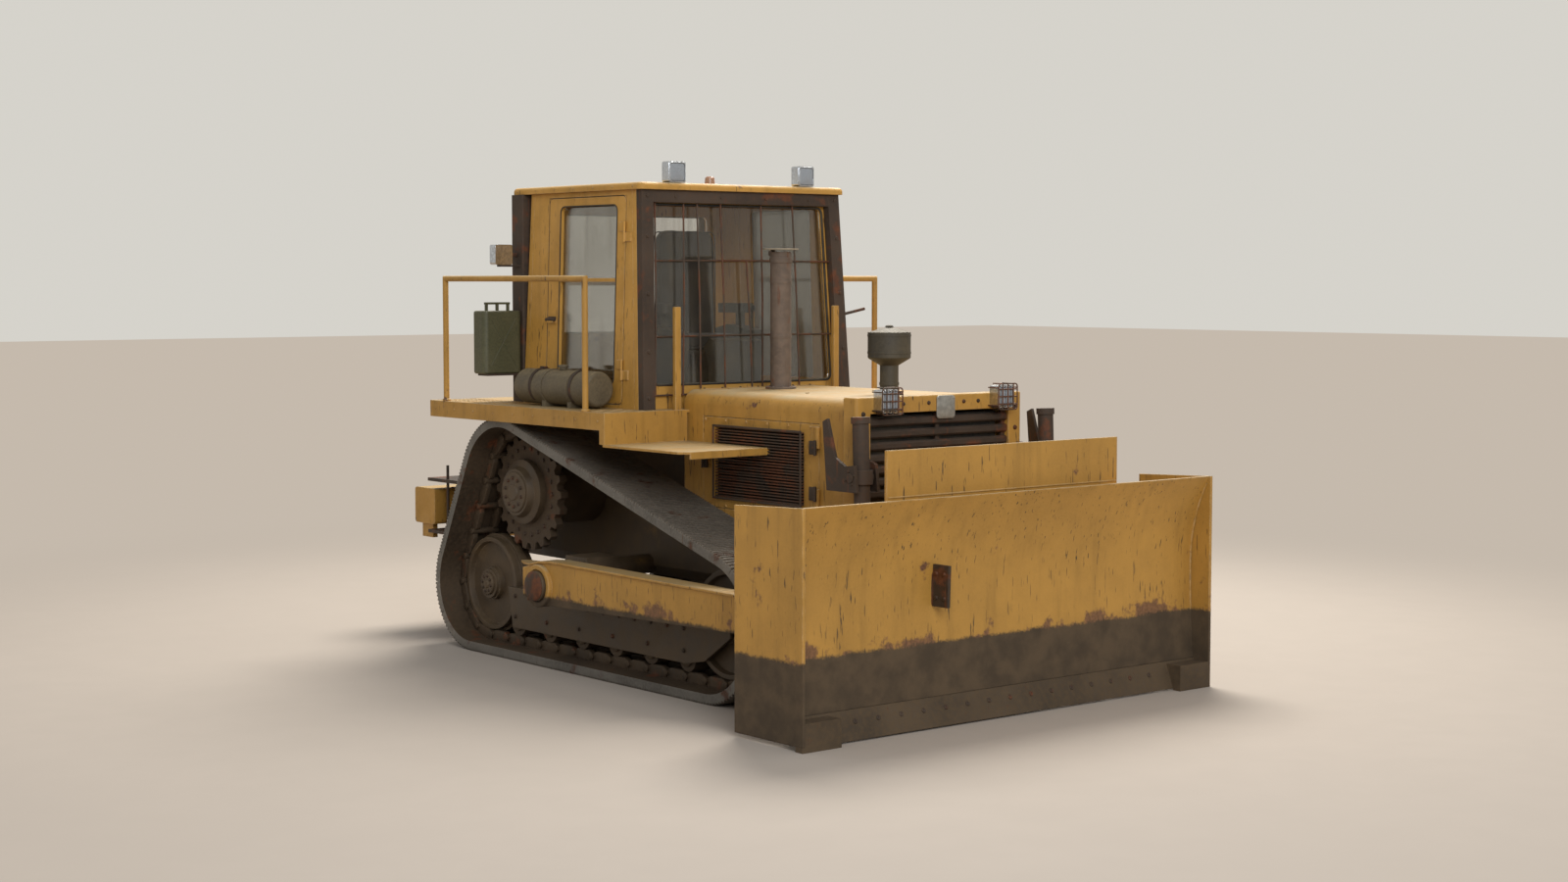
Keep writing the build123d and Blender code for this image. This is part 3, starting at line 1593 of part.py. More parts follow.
def corner_bit():
    """Left corner bit, proud of the cutting edge."""
    inner = blade_half_width - corner_bit_width
    rear_low = edge_bottom_depth - rest_gap
    slope = (
        blade_foot_depth - edge_thickness * 0.3 - edge_bottom_depth
    ) / (blade_foot_z - edge_thickness * 0.4)
    top = corner_bit_height
    outline = side_face([
        (0, 0),
        (rear_low, 0),
        (rear_low, edge_thickness * 0.4),
        (rear_low + slope * (top - edge_thickness * 0.4), top),
        (0, top),
    ])
    bit = across(outline, (inner, blade_half_width - blade_end_plate - rest_gap))
    foot = block(
        (
            blade_half_width - blade_end_plate - 1, blade_half_width
        ), (0, rear_low), (0, edge_thickness - rest_gap)
    )
    return bit + foot


def spill_guard():
    """Upright plate behind the blade's top edge, standing on the upper rib."""
    low = rib_top_z
    y = blade_face_y(low, blade_depth) + blade_plate + rest_gap * 2
    plate = block((-spill_half_width, spill_half_width), (y, y + spill_thickness), (low, spill_top_z))
    stays = [
        across(side_face([
            (y + spill_thickness - 2, low),
            (rib_top_rear_y, low),
            (y + spill_thickness - 2, spill_top_z - 120),
        ]), (x - 8, x + 8))
        for x in (
            -spill_half_width + 60, -spill_half_width / 3, spill_half_width / 3, spill_half_width - 60
        )
    ]
    return plate.fuse(*stays)


def face_lug():
    """Plate lug standing out of the blade's face."""
    points = [
        (blade_face_y(lug_top_z, blade_depth) - lug_depth, lug_top_z),
        (blade_face_y(lug_low_z, blade_depth) - lug_depth, lug_low_z),
        (blade_face_y(lug_low_z, blade_depth) - rest_gap, lug_low_z),
        (blade_face_y(blade_curl_z, blade_depth) - rest_gap, blade_curl_z),
        (blade_face_y(lug_top_z, blade_depth) - rest_gap * 2, lug_top_z),
    ]
    return across(side_face(points), (-lug_x - lug_thickness, -lug_x))


def push_arm():
    """Left push arm: a box beam from the trunnion ring to the blade's lower rib."""
    half_rear = 152
    half_front = 118
    middle_front = rib_low_z + rib_low_height * 0.75
    outline = side_face([
        (trunnion_y + 220, trunnion_z - 90),
        (trunnion_y + 220, trunnion_z + 110),
        (trunnion_y - 60, trunnion_z + half_rear + 20),
        (1100, 775),
        (rib_low_rear_y + rest_gap, middle_front + half_front),
        (rib_low_rear_y + rest_gap, middle_front - half_front),
        (1100, 540),
        (trunnion_y - 60, trunnion_z - half_rear + 20),
    ])
    beam = across(outline, (arm_inner_x, arm_outer_x))
    ring = round_x(trunnion_ring_radius, (arm_inner_x - 10, arm_outer_x + 14), trunnion_y, trunnion_z)
    bore = round_x(
        trunnion_radius + running_gap, (arm_inner_x - 20, arm_outer_x + 20), trunnion_y, trunnion_z
    )
    return beam.fuse(ring) - bore


def trunnion():
    """Left trunnion pin on the roller frame's tower, with its cap outside the arm."""
    inner = track_centre_x + frame_beam_width / 2 + guard_plate
    outer = arm_outer_x + 14
    pin = round_x(trunnion_radius, (inner, outer + 10), trunnion_y, trunnion_z)
    base = round_x(trunnion_radius * 1.6, (inner, inner + 90), trunnion_y, trunnion_z)
    cap = round_x(trunnion_cap_radius, (outer + 6, outer + 40), trunnion_y, trunnion_z)
    cap = chamfer(cap.edges().sort_by(Axis.X)[-1], 10)
    return pin.fuse(base, cap)


# Lift cylinders

lift_span = hypot(yoke_y - eye_y, yoke_z - eye_z)
lift_lean = degrees(atan2(yoke_y - eye_y, yoke_z - eye_z))


def on_lift_line(shape):
    """Place a shape built upright about the trunnion onto the cylinder's leaning line."""
    return Pos(lift_x, yoke_y, yoke_z) * Rot(-lift_lean, 0, 0) * shape


def lift_barrel():
    """Left barrel with its trunnion ring and pins, open at the rod's end."""
    bore = rod_radius + piston_gap
    tube = round_z(barrel_radius, 0, 0, (-barrel_below, barrel_above))
    tube = tube.fuse(
        round_z(barrel_radius + gland_step, 0, 0, (-barrel_below, -barrel_below + 60)),
        round_z(barrel_radius + gland_step, 0, 0, (barrel_above - 40, barrel_above)),
        round_z(barrel_ring, 0, 0, (-44, 44)),
        round_x(30, (-barrel_ring - 34, barrel_ring + 34), 0, 0),
    )
    hollow = round_z(bore, 0, 0, (-barrel_below - 5, barrel_above - 30))
    return on_lift_line(tube - hollow)


def lift_rod():
    """Left rod with its piston inside the barrel and its eye at the blade."""
    bore = rod_radius + piston_gap
    top = -lift_span + rod_reach
    rod = round_z(rod_radius, 0, 0, (-lift_span + rod_eye_radius * 0.7, top))
    piston = round_z(bore - rest_gap, 0, 0, (top - 50, top))
    eye = round_x(rod_eye_radius, (-rod_eye_width / 2, rod_eye_width / 2), 0, -lift_span)
    hole = round_x(rod_eye_bore, (-rod_eye_width, rod_eye_width), 0, -lift_span)
    return on_lift_line(rod.fuse(piston, eye) - hole)


def lift_clevis():
    """Left pair of ears with the pin that the rod's eye swings on."""
    half = barrel_radius + gland_step + swing_gap
    weld_y = blade_face_y(rib_low_z - 150, blade_depth) + blade_plate - 6
    outline = side_face([
        (weld_y, rib_low_z - 60),
        (weld_y, rib_low_z + 60),
        (rib_low_rear_y - 10, rib_low_z + 90),
        (eye_y + 20, eye_z + 62),
        (eye_y + 62, eye_z),
        (eye_y, eye_z - 62),
        (weld_y, rib_low_z - 150),
    ])
    ears = [
        across(
            outline,
            (
                lift_x + side * half - (ear_plate if side < 0 else 0),
                lift_x + side * half + (ear_plate if side > 0 else 0),
            ),
        )
        for side in (-1, 1)
    ]
    pin = round_x(lift_pin_radius, (lift_x - half - ear_plate, lift_x + half + ear_plate), eye_y, eye_z)
    return ears[0].fuse(ears[1], pin)


def lift_yoke():
    """Left yoke: plates on the guard's corner that hold the barrel's trunnion pins."""
    bearing = 30 + running_gap
    half = barrel_ring + 6
    side = guard_half_width
    back = guard_front_y - rest_gap
    inner_plate = (lift_x - half - yoke_plate, lift_x - half)
    outer_plate = (lift_x + half, lift_x + half + yoke_plate)
    arm = side_face([
        (yoke_y - 62, yoke_z - 90),
        (guard_front_y + 70, yoke_z - 90),
        (guard_front_y + 110, yoke_arm_top_z),
        (guard_front_y + 66, yoke_arm_top_z + 20),
        (guard_front_y - 10, yoke_z + 120),
        (yoke_y + 50, yoke_z + 70),
        (yoke_y - 40, yoke_z + 80),
    ])
    inner_arm = side_face([
        (yoke_y - 62, yoke_z - 90),
        (back, yoke_z - 90),
        (back, yoke_z + 150),
        (yoke_y - 40, yoke_z + 80),
    ])
    web_y = (yoke_y + barrel_ring + 14, back)
    web = block((inner_plate[0], outer_plate[1]), web_y, (yoke_z - 90, yoke_z - 60))
    pad = block(
        (side + rest_gap, outer_plate[1]), (back - 20, guard_front_y + 60), (yoke_z - 90, yoke_z - 60)
    )
    yoke = across(inner_arm, inner_plate).fuse(across(arm, outer_plate), web, pad)
    return yoke - round_x(bearing, (inner_plate[0] - 5, outer_plate[1] + 5), yoke_y, yoke_z)


# Nodes


def mirrored(shape):
    return mirror(shape, about=Plane.YZ)


def write_nodes():
    os.makedirs("parts", exist_ok=True)
    save("hull", hull().fuse(equalizer_bar(), *both(sill())))
    save("engine_block", engine())
    save("rear_case", rear_case())
    save("platform", platform().fuse(cab_floor()))
    save("decks", *both(deck().fuse(step_plate())))
    save("hood", hood())
    save("hood_bulkhead", hood_bulkhead())
    save("engine_doors", *both(engine_door()))
    save("engine_louvres", *both(louvres()))
    save("radiator_guard", radiator_guard())
    save("grille", grille())
    save("radiator", radiator())
    save("exhaust_stack", exhaust_stack())
    save("rain_cap", rain_cap())
    save("precleaner", precleaner())
    save("lamps", *front_lamps(), *both(roof_lamp()), *both(rear_lamp()))
    save("lamp_cages", *both(lamp_cage()))

    save("cab_sides", *both(cab_side()))
    save("cab_front", cab_front())
    save("cab_rear", cab_rear())
    save("cab_roof", cab_roof())
    left_door = cab_door().fuse(door_handle())
    save("cab_door_left", left_door)
    save("cab_door_right", mirrored(left_door))
    save("door_glass_left", door_glass())
    save("cab_glass", windshield(), rear_glass(), mirrored(door_glass()))
    save("front_guard_frame", front_guard_frame())
    save("rear_posts", rear_post(), mirrored(rear_post()).fuse(can_bracket()))
    save("beacon", beacon())
    save("seat_pedestal", seat_pedestal())
    save("seat_cushion", seat_bottom())
    save("seat_back", seat_back())
    save("cab_controls", dash(), *both(console()))

    save("rail_right", rail_right())
    save("rails_left", *rail_left())
    save("grab_posts", *grab_posts())
    save("deck_tank", deck_tank())
    save("fuel_can", fuel_can())
    save("rear_beam", rear_beam())
    save("rear_frame_plates", rear_frame_plates())

    left_track = track(track_centre_x)
    save("track_left", left_track)
    save("track_right", mirrored(left_track))
    save("roller_frames", *both(roller_frame().fuse(trunnion())))
    save("idlers", *[half for wheel in idlers() for half in both(wheel)])
    save("track_rollers", *both(track_rollers()))
    save("sprockets", *both(sprocket()))
    save("final_drives", *both(final_drive()))

    save("mouldboard", mouldboard().fuse(*both(lift_clevis())))
    save("cutting_edge", cutting_edge(), *both(corner_bit()))
    save("spill_guard", spill_guard())
    save("face_lug", face_lug())
    save("push_arms", *both(push_arm()))
    save("lift_yokes", *both(lift_yoke()))
    for side, barrel, rod in zip(("left", "right"), both(lift_barrel()), both(lift_rod())):
        save(f"lift_barrel_{side}", barrel)
        save(f"lift_rod_{side}", rod)


write_nodes()
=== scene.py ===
"""A crawler bulldozer's looks, laid out as an add-on: finishes, small parts, stage and camera."""

import math

import bmesh
import bpy
from bpy.props import FloatProperty, FloatVectorProperty, PointerProperty
from mathutils import Matrix, Vector
from mathutils.bvhtree import BVHTree


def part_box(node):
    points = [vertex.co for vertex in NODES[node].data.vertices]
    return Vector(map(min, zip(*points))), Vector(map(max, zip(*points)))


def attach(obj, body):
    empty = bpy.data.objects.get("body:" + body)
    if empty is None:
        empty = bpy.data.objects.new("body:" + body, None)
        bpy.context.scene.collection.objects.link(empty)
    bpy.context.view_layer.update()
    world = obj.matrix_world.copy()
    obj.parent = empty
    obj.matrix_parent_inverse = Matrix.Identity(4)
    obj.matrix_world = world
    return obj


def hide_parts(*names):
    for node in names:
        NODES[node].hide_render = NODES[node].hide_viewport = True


bl_info = {
    "name": "Crawler bulldozer",
    "version": (1, 0, 0),
    "blender": (4, 5, 0),
    "location": "3D View > Sidebar > Bulldozer",
    "description": "Finishes and small parts of a crawler bulldozer, piece by piece",
    "category": "Object",
}

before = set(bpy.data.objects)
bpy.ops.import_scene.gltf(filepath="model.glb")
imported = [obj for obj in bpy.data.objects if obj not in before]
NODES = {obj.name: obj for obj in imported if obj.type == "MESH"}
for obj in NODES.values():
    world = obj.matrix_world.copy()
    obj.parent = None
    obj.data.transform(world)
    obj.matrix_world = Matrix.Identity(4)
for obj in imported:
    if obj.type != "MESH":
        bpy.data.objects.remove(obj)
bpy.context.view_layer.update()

X = Vector((1, 0, 0))
Y = Vector((0, 1, 0))
Z = Vector((0, 0, 1))
SIDES = ((1, "left"), (-1, "right"))
SHIFT_Y = -2.91
SUNK = 0.001


def at(y):
    """Distance back from the blade's edge turned into the model's own Y."""
    return y + SHIFT_Y


def colour(name, text, value):
    return FloatVectorProperty(
        name=name, description=text, default=value, size=3, min=0, max=1, subtype="COLOR"
    )


def length(name, text, value):
    return FloatProperty(name=name, description=text, default=value, min=0, unit="LENGTH")


def power(name, text, value):
    return FloatProperty(name=name, description=text, default=value, min=0, unit="POWER")


def amount(name, text, value):
    return FloatProperty(name=name, description=text, default=value, min=0, max=1, subtype="FACTOR")


class PaintSettings(bpy.types.PropertyGroup):
    paint: colour("Paint", "Ochre machine paint", (0.43, 0.225, 0.040))
    streak: colour("Streak", "Thin dark runs in the paint", (0.045, 0.028, 0.014))
    rust: colour("Rust", "Rust where the paint is gone", (0.088, 0.038, 0.020))
    dirt: colour("Dirt", "Dried dark mud", (0.066, 0.043, 0.022))
    dust: colour("Dust", "Pale dust on flat tops", (0.36, 0.28, 0.15))
    edge: colour("Worn edge", "Pale worn edges", (0.72, 0.56, 0.36))
    mud_line: length("Mud line", "Height that mud has reached", 0.52)
    streaks: amount("Streaks", "How many runs the paint has", 0.55)
    wear: amount("Wear", "How far the edges are worn", 0.6)


class MetalSettings(bpy.types.PropertyGroup):
    iron: colour("Dark iron", "Guards, louvres and posts", (0.040, 0.026, 0.017))
    orange_rust: colour("Orange rust", "Fresh rust on the guards", (0.17, 0.055, 0.020))
    shoe: colour("Shoe ends", "Bare grey ends of the shoes", (0.125, 0.115, 0.100))
    tread: colour("Tread", "Dusty tread of the shoes", (0.108, 0.092, 0.072))
    stack: colour("Stack", "Brownish grey of the exhaust", (0.132, 0.096, 0.071))
    cleaner: colour("Air cleaner", "Dark grey of the air cleaner", (0.030, 0.025, 0.016))
    chrome: colour("Chrome", "Lamp bodies and rods", (0.50, 0.52, 0.55))


class FittingSettings(bpy.types.PropertyGroup):
    glass: colour("Glass", "Smoky tint of the panes", (0.90, 0.89, 0.87))
    seat: colour("Seat cover", "Dark woven seat cover", (0.030, 0.028, 0.027))
    plastic: colour("Plastic", "Consoles and knobs", (0.026, 0.025, 0.024))
    rubber: colour("Rubber", "Gaskets and seals", (0.014, 0.013, 0.012))
    can: colour("Can", "Green of the fuel can", (0.062, 0.062, 0.028))
    tank: colour("Tank", "Olive of the deck tank", (0.090, 0.069, 0.039))
    beacon: colour("Beacon", "Dusty orange dome", (0.40, 0.23, 0.14))
    bolt: length("Bolt", "Width over a hexagon head", 0.030)


class StageSettings(bpy.types.PropertyGroup):
    floor: colour("Floor", "Pale floor", (0.42, 0.365, 0.31))
    horizon: colour("Horizon", "Colour that the floor keeps far away", (0.56, 0.49, 0.415))
    backdrop: colour("Backdrop", "Pale backdrop", (0.67, 0.65, 0.60))
    key: power("Key light", "Power of the high soft light", 2250)
    fill: power("Fill light", "Power of the low front light", 1500)
    sky: amount("Sky", "Strength of the even light", 0.50)


class Nodes:
    """Node tree of a material or world, filled node by node."""

    def __init__(self, owner):
        owner.use_nodes = True
        self.tree = owner.node_tree
        self.tree.nodes.clear()

    def put(self, socket, value):
        if isinstance(value, bpy.types.NodeSocket):
            self.tree.links.new(value, socket)
        elif hasattr(socket.default_value, "__len__") and len(socket.default_value) == 4:
            socket.default_value = (*tuple(value)[:3], 1)
        else:
            socket.default_value = value

    def add(self, kind, inputs=None, **options):
        """New node with its options set and its inputs filled by name or number."""
        node = self.tree.nodes.new("ShaderNode" + kind)
        for name, value in options.items():
            setattr(node, name, value)
        for name, value in (inputs or {}).items():
            self.put(node.inputs[name], value)
        return node

    def maths(self, operation, a, b=0.0):
        clamp = operation in ("ADD", "SUBTRACT", "MULTIPLY")
        return self.add("Math", {0: a, 1: b}, operation=operation, use_clamp=clamp).outputs[0]

    def total(self, a, b):
        """Sum that may pass 1."""
        return self.add("Math", {0: a, 1: b}, operation="ADD").outputs[0]

    def layered(self, share, under, over):
        """Shader that turns from one node's into another's."""
        return self.add("MixShader", {0: share, 1: under.outputs[0], 2: over.outputs[0]})

    def seen(self):
        """White for rays from the camera, straight or by way of glass and mirrors."""
        path = self.add("LightPath")
        result = path.outputs["Is Camera Ray"]
        for name in ("Is Glossy Ray", "Is Transmission Ray"):
            result = self.maths("MAXIMUM", result, path.outputs[name])
        return result


class Finish(Nodes):
    """One material, built in the object's own metres."""

    made = {}

    def __init__(self, name):
        self.material = bpy.data.materials.new(name)
        super().__init__(self.material)
        self.shader = self.add("BsdfPrincipled")
        self.output = self.add("OutputMaterial", {"Surface": self.shader.outputs["BSDF"]})
        self.place = self.add("TexCoord")
        Finish.made[name] = self.material

    def set(self, **values):
        for name, value in values.items():
            self.put(self.shader.inputs[name.replace("_", " ")], value)

    def noise(self, scale, detail=3.0, stretch=None, rough=0.55):
        """Cloudy pattern, drawn out by a scale along each axis where one is given."""
        where = self.place.outputs["Object"]
        if stretch:
            where = self.add("Mapping", {"Vector": where, "Scale": stretch}).outputs["Vector"]
        return self.add("TexNoise", {
            "Vector": where, "Scale": scale, "Detail": detail, "Roughness": rough
        }).outputs[0]

    def step(self, value, low, high, first=0.0, last=1.0):
        """Soft step from one value to another between two limits."""
        return self.add("MapRange", {
            "Value": value, "From Min": low, "From Max": high, "To Min": first, "To Max": last
        }, interpolation_type="SMOOTHSTEP").outputs["Result"]

    def mix(self, factor, a, b):
        return self.add("Mix", {0: factor, 6: a, 7: b}, data_type="RGBA").outputs[2]

    def part(self, output, axis):
        """One coordinate of the object's place or of the surface direction."""
        return self.add("SeparateXYZ", {0: self.place.outputs[output]}).outputs[axis]

    def edges(self, radius):
        """White along outer and inner edges, and the softened surface direction."""
        soft = self.add("Bevel", {"Radius": radius}, samples=4).outputs[0]
        flat = self.add("NewGeometry").outputs["Normal"]
        turned = self.add("VectorMath", {0: soft, 1: flat}, operation="DOT_PRODUCT").outputs["Value"]
        return self.step(turned, 0.995, 0.90), soft

    def bump(self, height, strength, distance, normal=None):
        node = self.add("Bump", {"Height": height, "Strength": strength, "Distance": distance})
        if normal:
            self.put(node.inputs["Normal"], normal)
        self.set(Normal=node.outputs["Normal"])


def shade(value, by):
    return tuple(min(1.0, part * by) for part in value)


def blend_colours(a, b, share):
    return tuple(one * (1 - share) + two * share for one, two in zip(a, b))


def paint_finish(name, base, mud_line=None, streaks=1.0, rust=1.0, dust=1.0, grime=0.0):
    """Sun-faded paint with runs, rust, mud at the bottom, dust on top and worn edges."""
    look = bpy.context.scene.bulldozer_paint
    finish = Finish(name)
    height = finish.part("Object", 2)
    facing_up = finish.part("Normal", 2)
    broad = finish.noise(1.4, 3)
    patchy = finish.noise(7.0, 6)
    fine = finish.noise(55.0, 4)
    tone = finish.mix(finish.step(broad, 0.3, 0.7), shade(base, 0.88), shade(base, 1.10))
    tone = finish.mix(finish.step(patchy, 0.35, 0.75, 0, 0.35), tone, shade(base, 0.72))
    tone = finish.mix(finish.step(fine, 0.3, 0.7, 0, 0.18), tone, shade(base, 1.25))
    grain = finish.noise(1.0, 2.0, (62, 62, 6.5), 0.55)
    where = finish.step(finish.noise(1.0, 3, (3.2, 3.2, 1.6)), 0.42, 0.66, 0.45, 1)
    thin = finish.step(grain, 0.645, 0.69)
    upright = finish.step(finish.maths("ABSOLUTE", facing_up), 0.5, 0.8, 1, 0)
    runs = finish.maths("MULTIPLY", finish.maths("MULTIPLY", thin, where), upright)
    runs = finish.maths("MULTIPLY", runs, streaks * (0.5 + look.streaks))
    wash = finish.step(finish.noise(1.0, 4, (11, 11, 0.9)), 0.46, 0.78, 0, 0.34 * streaks)
    tone = finish.mix(finish.maths("MULTIPLY", wash, upright), tone, shade(base, 0.45))
    tone = finish.mix(runs, tone, look.streak)
    spots = finish.noise(4.6, 8, None, 0.62)
    rust_mask = finish.step(spots, 0.66, 0.71, 0, rust)
    if mud_line:
        low = finish.step(height, mud_line - 0.05, mud_line + 0.20, 0.19, 0)
        near = finish.total(spots, low)
        rust_mask = finish.maths("MAXIMUM", rust_mask, finish.step(near, 0.64, 0.72, 0, 0.85))
    edge, soft = finish.edges(0.009)
    worn = finish.maths("MULTIPLY", edge, finish.step(finish.noise(13.0, 5), 0.34, 0.62, 0, look.wear))
    tone = finish.mix(worn, tone, blend_colours(shade(base, 1.5), look.edge, 0.7))
    rust_tone = finish.mix(finish.step(fine, 0.35, 0.65), look.rust, shade(look.rust, 1.9))
    tone = finish.mix(rust_mask, tone, rust_tone)
    flat_top = finish.step(facing_up, 0.55, 0.9)
    powder = finish.step(finish.noise(5.0, 6), 0.25, 0.7, 0.25 * dust, 0.85 * dust)
    tone = finish.mix(finish.maths("MULTIPLY", flat_top, powder), tone, look.dust)
    dirt_tone = finish.mix(finish.step(patchy, 0.3, 0.7), shade(look.dirt, 0.8), shade(look.dirt, 1.35))
    if grime:
        cake = finish.step(finish.noise(2.6, 7), 0.5 - grime * 0.35, 0.62 - grime * 0.25, 0, 1)
        tone = finish.mix(finish.maths("MULTIPLY", cake, min(1.0, 0.55 + grime * 0.45)), tone, dirt_tone)
    rough = finish.step(patchy, 0.2, 0.8, 0.50, 0.72)
    if mud_line:
        wavy = finish.total(height, finish.step(patchy, 0.2, 0.8, -0.010, 0.010))
        wavy = finish.total(wavy, finish.step(fine, 0.2, 0.8, -0.008, 0.008))
        mud = finish.step(wavy, mud_line + 0.016, mud_line - 0.014)
        tone = finish.mix(mud, tone, dirt_tone)
        rough = finish.step(mud, 0, 1, 0.60, 0.88)
    finish.set(Base_Color=tone, Roughness=rough, Metallic=0.0)
    relief = finish.total(fine, finish.maths("MULTIPLY", runs, -0.6))
    finish.bump(relief, 0.22, 0.004, soft)
    return finish.material


def iron_finish(name, base, rust_tone, rust=0.5, metal=0.35, rough=0.62, fleck=30.0):
    """Weathered bare or dark metal with rust in patches and runs."""
    finish = Finish(name)
    broad = finish.noise(2.3, 5)
    fine = finish.noise(fleck, 6)
    runs = finish.noise(1.0, 5, (26, 26, 2.2))
    tone = finish.mix(finish.step(broad, 0.3, 0.7), shade(base, 0.72), shade(base, 1.35))
    tone = finish.mix(finish.step(fine, 0.35, 0.75, 0, 0.5), tone, shade(base, 1.9))
    spots = finish.maths("ADD", finish.step(finish.noise(5.5, 7), 0.62 - rust * 0.2, 0.72 - rust * 0.16),
                         finish.step(runs, 0.66 - rust * 0.1, 0.74 - rust * 0.1, 0, 0.7))
    rusty = finish.mix(finish.step(fine, 0.3, 0.7), shade(rust_tone, 0.55), rust_tone)
    tone = finish.mix(finish.maths("MULTIPLY", spots, 0.85), tone, rusty)
    edge, soft = finish.edges(0.004)
    tone = finish.mix(finish.maths("MULTIPLY", edge, 0.35), tone, shade(base, 3.0))
    finish.set(
        Base_Color=tone, Metallic=metal, Roughness=finish.step(fine, 0.2, 0.8, rough - 0.12, rough + 0.16)
    )
    finish.bump(finish.total(fine, broad), 0.35, 0.004, soft)
    return finish.material


def smooth_finish(name, base, rough=0.5, metal=0.0, dusty=0.4, fleck=60.0, coat=0.0):
    """Plain moulded, enamelled or plated surface with dust in broad patches."""
    look = bpy.context.scene.bulldozer_paint
    finish = Finish(name)
    fine = finish.noise(fleck, 5)
    broad = finish.noise(5.0, 5)
    facing_up = finish.part("Normal", 2)
    tone = finish.mix(finish.step(fine, 0.3, 0.7), shade(base, 0.82), shade(base, 1.2))
    powder = finish.step(broad, 0.3, 0.75, 0, dusty * 0.6)
    top = finish.step(facing_up, 0.5, 0.9, 0, dusty)
    settled = finish.maths("MULTIPLY", top, finish.step(fine, 0.2, 0.7))
    tone = finish.mix(finish.maths("ADD", powder, settled), tone, look.dust)
    edge, soft = finish.edges(0.003)
    tone = finish.mix(finish.maths("MULTIPLY", edge, 0.3), tone, shade(base, 1.9))
    roughness = finish.step(broad, 0.2, 0.8, rough - 0.08, rough + 0.12)
    finish.set(Base_Color=tone, Metallic=metal, Roughness=roughness, Coat_Weight=coat)
    finish.bump(fine, 0.12, 0.002, soft)
    return finish.material


def fabric_finish(name, base):
    """Dark woven cover: two crossing sets of fine threads, faded in patches."""
    finish = Finish(name)
    threads = []
    for way, scale in (("X", 160), ("DIAGONAL", 150)):
        wave = {"Vector": finish.place.outputs["Object"], "Scale": scale, "Distortion": 0.6}
        threads.append(finish.add("TexWave", wave, bands_direction=way).outputs["Fac"])
    weave = finish.maths("MULTIPLY", *threads)
    faded = finish.step(finish.noise(6.0, 5), 0.35, 0.7)
    tone = finish.mix(weave, shade(base, 0.6), shade(base, 1.8))
    tone = finish.mix(finish.maths("MULTIPLY", faded, 0.3), tone, shade(base, 3.2))
    finish.set(Base_Color=tone, Roughness=finish.step(weave, 0, 1, 0.82, 0.95), Sheen_Weight=0.25)
    finish.bump(weave, 0.35, 0.002)
    return finish.material


def glass_finish(name, tint):
    """Smoky pane with upright runs of dust."""
    look = bpy.context.scene.bulldozer_paint
    finish = Finish(name)
    runs = finish.step(finish.noise(1.0, 4, (17, 17, 0.7)), 0.50, 0.80, 0.0, 0.14)
    film = finish.step(finish.noise(2.2, 6), 0.35, 0.75, 0.02, 0.07)
    cover = finish.maths("ADD", runs, film)
    finish.set(Base_Color=shade(look.dust, 0.55), Roughness=finish.step(film, 0, 0.3, 0.55, 0.8))
    clear = finish.add("BsdfTransparent", {"Color": tint})
    shine = finish.add("BsdfGlossy", {"Color": (0.9, 0.9, 0.88), "Roughness": 0.04})
    rim = finish.add("Fresnel", {"IOR": 1.45}).outputs[0]
    pane = finish.layered(finish.maths("MULTIPLY", rim, 0.8), clear, shine)
    dirty = finish.layered(cover, pane, finish.shader)
    finish.put(finish.output.inputs["Surface"], dirty.outputs[0])
    return finish.material


def dome_finish(name, base):
    """Orange translucent plastic of the beacon."""
    finish = Finish(name)
    ribs = finish.noise(90.0, 3)
    finish.set(Base_Color=finish.mix(finish.step(ribs, 0.3, 0.7, 0, 0.4), base, shade(base, 0.6)))
    finish.set(Roughness=0.25, Subsurface_Weight=0.2, Transmission_Weight=0.15)
    finish.bump(ribs, 0.15, 0.001)
    return finish.material


def circle(centre, side, up, radius, count, first=0.0):
    """Points evenly round a circle in the plane of two directions."""
    turns = [first + 2 * math.pi * number / count for number in range(count)]
    return [centre + (side * math.cos(turn) + up * math.sin(turn)) * radius for turn in turns]


def ring(centre, axis, radius, count, first=0.0):
    """Points evenly round a circle about an axis."""
    axis = Vector(axis).normalized()
    side = axis.orthogonal().normalized()
    return circle(Vector(centre), side, axis.cross(side), radius, count, first)


def spaced(first, last, count):
    """Even steps from one value to another, both kept."""
    return [first + (last - first) * number / (count - 1) for number in range(count)]


def span(side, near, far):
    """Two distances from the machine's middle as the low and high X on one side."""
    return sorted((near * side, far * side))


def band(low, high, inner, outer):
    """Lathe profile of a flat band."""
    return [(low, inner), (low, outer), (high, outer), (high, inner)]


def rounded(low, high, radius, steps=4):
    """Corners of a rounded rectangle between two 2-D limits."""
    right, left = high[0] - radius, low[0] + radius
    top, foot = high[1] - radius, low[1] + radius
    points = []
    for quarter, (a, b) in enumerate(((right, top), (left, top), (left, foot), (right, foot))):
        for step in range(steps + 1):
            turn = math.radians(90 * quarter + 90 * step / steps)
            points.append((a + radius * math.cos(turn), b + radius * math.sin(turn)))
    return points


def skin(mesh, rings, wrap=False):
    """Faces between rings of equal length, closed at both ends or round in a loop."""
    rows = [[mesh.verts.new(point) for point in ring] for ring in rings]
    count = len(rows[0])
    for low, high in zip(rows, rows[1:] + rows[:1] if wrap else rows[1:]):
        for number in range(count):
            after = (number + 1) % count
            mesh.faces.new((low[number], low[after], high[after], high[number]))
    if not wrap:
        mesh.faces.new(list(reversed(rows[0])))
        mesh.faces.new(rows[-1])


